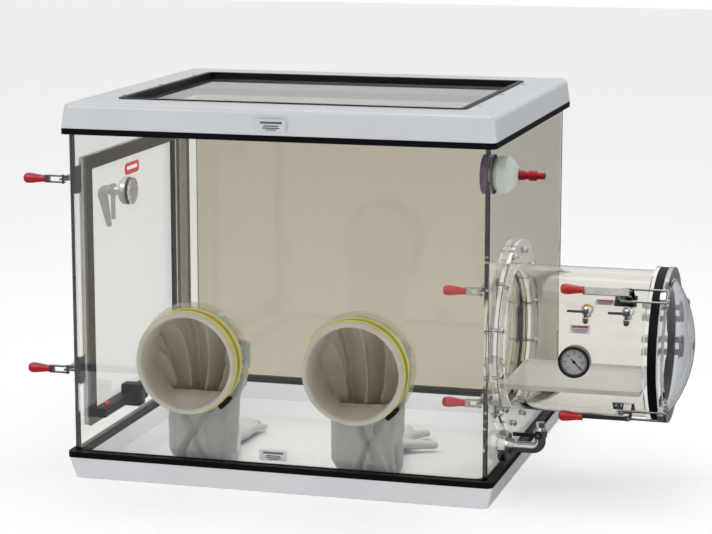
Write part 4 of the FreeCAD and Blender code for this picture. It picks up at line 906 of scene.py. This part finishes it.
def dial(shop):
    """White face, tick marks, numbers and clear lens of the vacuum gauge."""
    low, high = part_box("gauge_case")
    centre = Vector(((low.x + high.x) / 2, low.y, (low.z + high.z) / 2))
    radius = (high.x - low.x) / 2
    recess = centre + Vector((0, 0.0046, 0))
    face = facing(recess, (1, 0, 0), (0, 0, 1))
    lathe("gauge_face", [(radius - 0.0044, -0.0004), (radius - 0.0044, 0.0003), (0.0, 0.0003)], face,
          shop["dial"], "housing", 64, closed=False)
    first, last, count = 225, -45, 30
    for k in range(count + 1):
        angle = math.radians(first + (last - first) * k / count)
        major = k % 5 == 0
        inner, outer = radius * (0.66 if major else 0.73), radius * 0.80
        middle = Vector((math.cos(angle), math.sin(angle), 0)) * (inner + outer) / 2
        place = face @ Matrix.Translation((middle.x, middle.y, 0.0006)) @ Matrix.Rotation(angle, 4, "Z")
        stroke = (outer - inner, 0.0011 if major else 0.0005, 0.0003)
        slab(f"gauge_tick_{k}", place, stroke, shop["ink"], "housing")
        if major:
            spot = (math.cos(angle) * radius * 0.52, math.sin(angle) * radius * 0.52, 0.0006)
            write(f"gauge_number_{k}", str(k), 0.0062, face @ Matrix.Translation(spot),
                  shop["ink"], "housing")
    lathe("gauge_arc", [(radius * 0.800, 0.0004), (radius * 0.800, 0.0007), (radius * 0.815, 0.0007),
                        (radius * 0.815, 0.0004)], face, shop["ink"], "housing", 64)
    bezel = [(radius - 0.0046, 0.0006), (radius - 0.0046, 0.0040), (radius - 0.0034, 0.0046),
             (radius - 0.0030, 0.0049), (radius - 0.0012, 0.0049), (radius + 0.0004, 0.0030),
             (radius + 0.0004, -0.0060), (radius - 0.0002, -0.0062)]
    lathe("gauge_bezel_step", bezel, face, shop["gauge"], "housing", 64, closed=False)
    needle_at = Vector(JOINTS["gauge_needle_turn"]["pos_m"])
    hub = facing((needle_at.x, needle_at.y + 0.0004, needle_at.z), (1, 0, 0), (0, 0, 1))
    boss = [(0.0032, -0.0002), (0.0032, 0.0010), (0.0022, 0.0017), (0.0, 0.0019)]
    lathe("gauge_hub", boss, hub, shop["ink"], "gauge_needle", 24, closed=False)
    dome = [(radius - 0.0034, 0.0042), (radius * 0.6, 0.0047), (radius * 0.3, 0.0049), (0.0, 0.0050)]
    lathe("gauge_lens", dome, face, shop["lens"], "housing", 48, closed=False)


def write(name, text, height, place, material, body):
    """A thin raised number, centred on the placement."""
    curve = bpy.data.curves.new(name, "FONT")
    curve.body = text
    curve.size = height
    curve.align_x = "CENTER"
    curve.align_y = "CENTER"
    curve.extrude = 0.00012
    source = bpy.data.objects.new(name + "_text", curve)
    scene.collection.objects.link(source)
    graph = bpy.context.evaluated_depsgraph_get()
    mesh = bpy.data.meshes.new_from_object(source.evaluated_get(graph))
    bpy.data.objects.remove(source, do_unlink=True)
    mesh.transform(place)
    mesh.materials.clear()
    mesh.materials.append(material)
    piece = bpy.data.objects.new(name, mesh)
    scene.collection.objects.link(piece)
    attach(piece, body)


def purge_details(shop):
    """Scalloped ring with six screws, on the inner face of the side door."""
    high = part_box("purge_valve")[1]
    pivot = Vector(JOINTS["purge_lever_turn"]["pos_m"])
    lobes, steps = 12, 96
    inner_face = facing((high.x + 0.0002, pivot.y, pivot.z), (0, 1, 0), (0, 0, 1))
    verts, faces = [], []
    profile = [(0.0150, 0.0002), (0.0290, 0.0002), (0.0300, 0.0020), (0.0285, 0.0048), (0.0220, 0.0060),
               (0.0130, 0.0064), (0.0, 0.0064)]
    for radius, height in profile:
        for k in range(steps):
            angle = 2 * math.pi * k / steps
            scallop = 1 + 0.035 * math.cos(lobes * angle) * (radius > 0.02)
            reach = radius * scallop
            verts.append(inner_face @ Vector((reach * math.cos(angle), reach * math.sin(angle), height)))
    for i in range(len(profile) - 1):
        for k in range(steps):
            n = (k + 1) % steps
            faces.append((i * steps + k, i * steps + n, (i + 1) * steps + n, (i + 1) * steps + k))
    mesh_piece("purge_wheel", verts, faces, shop["chrome"], "side_door")
    for k in range(6):
        angle = 2 * math.pi * (k + 0.5) / 6
        at = inner_face @ Vector((0.0215 * math.cos(angle), 0.0215 * math.sin(angle), 0.0058))
        dome_screw(f"purge_screw_{k}", at, (1, 0, 0), 0.0030, shop, "side_door")


def gas_details(shop):
    """Purple face of the inner disc and the metal ring behind the coupling."""
    low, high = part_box("gas_port")
    centre = Vector((low.x, (low.y + high.y) / 2, (low.z + high.z) / 2))
    inward = facing(centre, (0, -1, 0), (0, 0, 1))
    wide = (high.z - low.z) / 2
    disc = [(wide - 0.0006, -0.0042), (wide - 0.0002, -0.0020), (wide - 0.0006, 0.0004),
            (wide * 0.55, 0.0010), (wide * 0.50, 0.0004), (0.0, 0.0004)]
    lathe("gas_disc_face", disc, inward, shop["purple"], "housing", 72, closed=False)
    coupling_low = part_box("gas_coupling")[0]
    outward = frame_at((coupling_low.x - 0.001, centre.y, centre.z), (1, 0, 0))
    lathe("gas_ring", [(0.0110, 0.0), (0.0165, 0.0), (0.0170, 0.0020), (0.0150, 0.0042), (0.0110, 0.0046)],
          outward, shop["chrome"], "housing", 48)


def outlet_details(shop):
    """Silver line along the strip, and the face, slots and earth holes of the socket box."""
    low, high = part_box("outlet_strip")
    line = facing((low.x + 0.0222, (STRIP_FRONT + SOCKET_FRONT) / 2, 0.1105), (0, 1, 0), (0, 0, 1))
    slab("strip_line", line, (0.136, 0.0022, 0.0005), shop["steel"], "housing")
    face = facing((high.x + 0.0004, (SOCKET_FRONT + SOCKET_BACK) / 2, 0.1255), (0, 1, 0), (0, 0, 1))
    slab("socket_face", face, (0.022, 0.040, 0.0010), shop["outlet"], "housing", 0.0003, 0.003)
    for row in (-1, 1):
        for column in (-1, 1):
            slot = face @ Matrix.Translation((column * 0.0042, row * 0.0095 + 0.002, 0.0006))
            slab(f"socket_slot_{row}_{column}", slot, (0.0016, 0.0062, 0.0004), shop["ink"], "housing")
        hole = face @ Matrix.Translation((0, row * 0.0095 - 0.0042, 0))
        lathe(f"socket_earth_{row}", [(0.0018, 0.0004), (0.0018, 0.0009), (0.0, 0.0009)], hole,
              shop["ink"], "housing", 20, closed=False)


def tube_details(shop):
    """A disc at the foot of each small valve, brass at the first and chrome at the second."""
    for name in ("a", "b"):
        pivot = Vector(JOINTS[f"tube_valve_{name}_turn"]["pos_m"])
        along = pivot.x
        metal = "brass" if name == "a" else "chrome"
        base = tube_point(along, VALVE_TURN, 0.1530)
        out = tube_point(along, VALVE_TURN, 1) - tube_point(along, VALVE_TURN, 0)
        place = frame_at(base, out, (1, 0, 0))
        lathe(f"valve_disc_{name}", [(0.0122, 0.0), (0.0126, 0.0016), (0.0112, 0.0034), (0.0086, 0.0040),
                                     (0.0080, 0.0)], place, shop[metal], "housing", 40)


# ------------------------------------------------------------ build
make_camera()
shop = make_materials()
make_studio()
dress_parts(shop)
clamp_grips(shop)
gloves(shop)
labels(shop)
screws(shop)
band_details(shop)
dial(shop)
purge_details(shop)
gas_details(shop)
outlet_details(shop)
tube_details(shop)
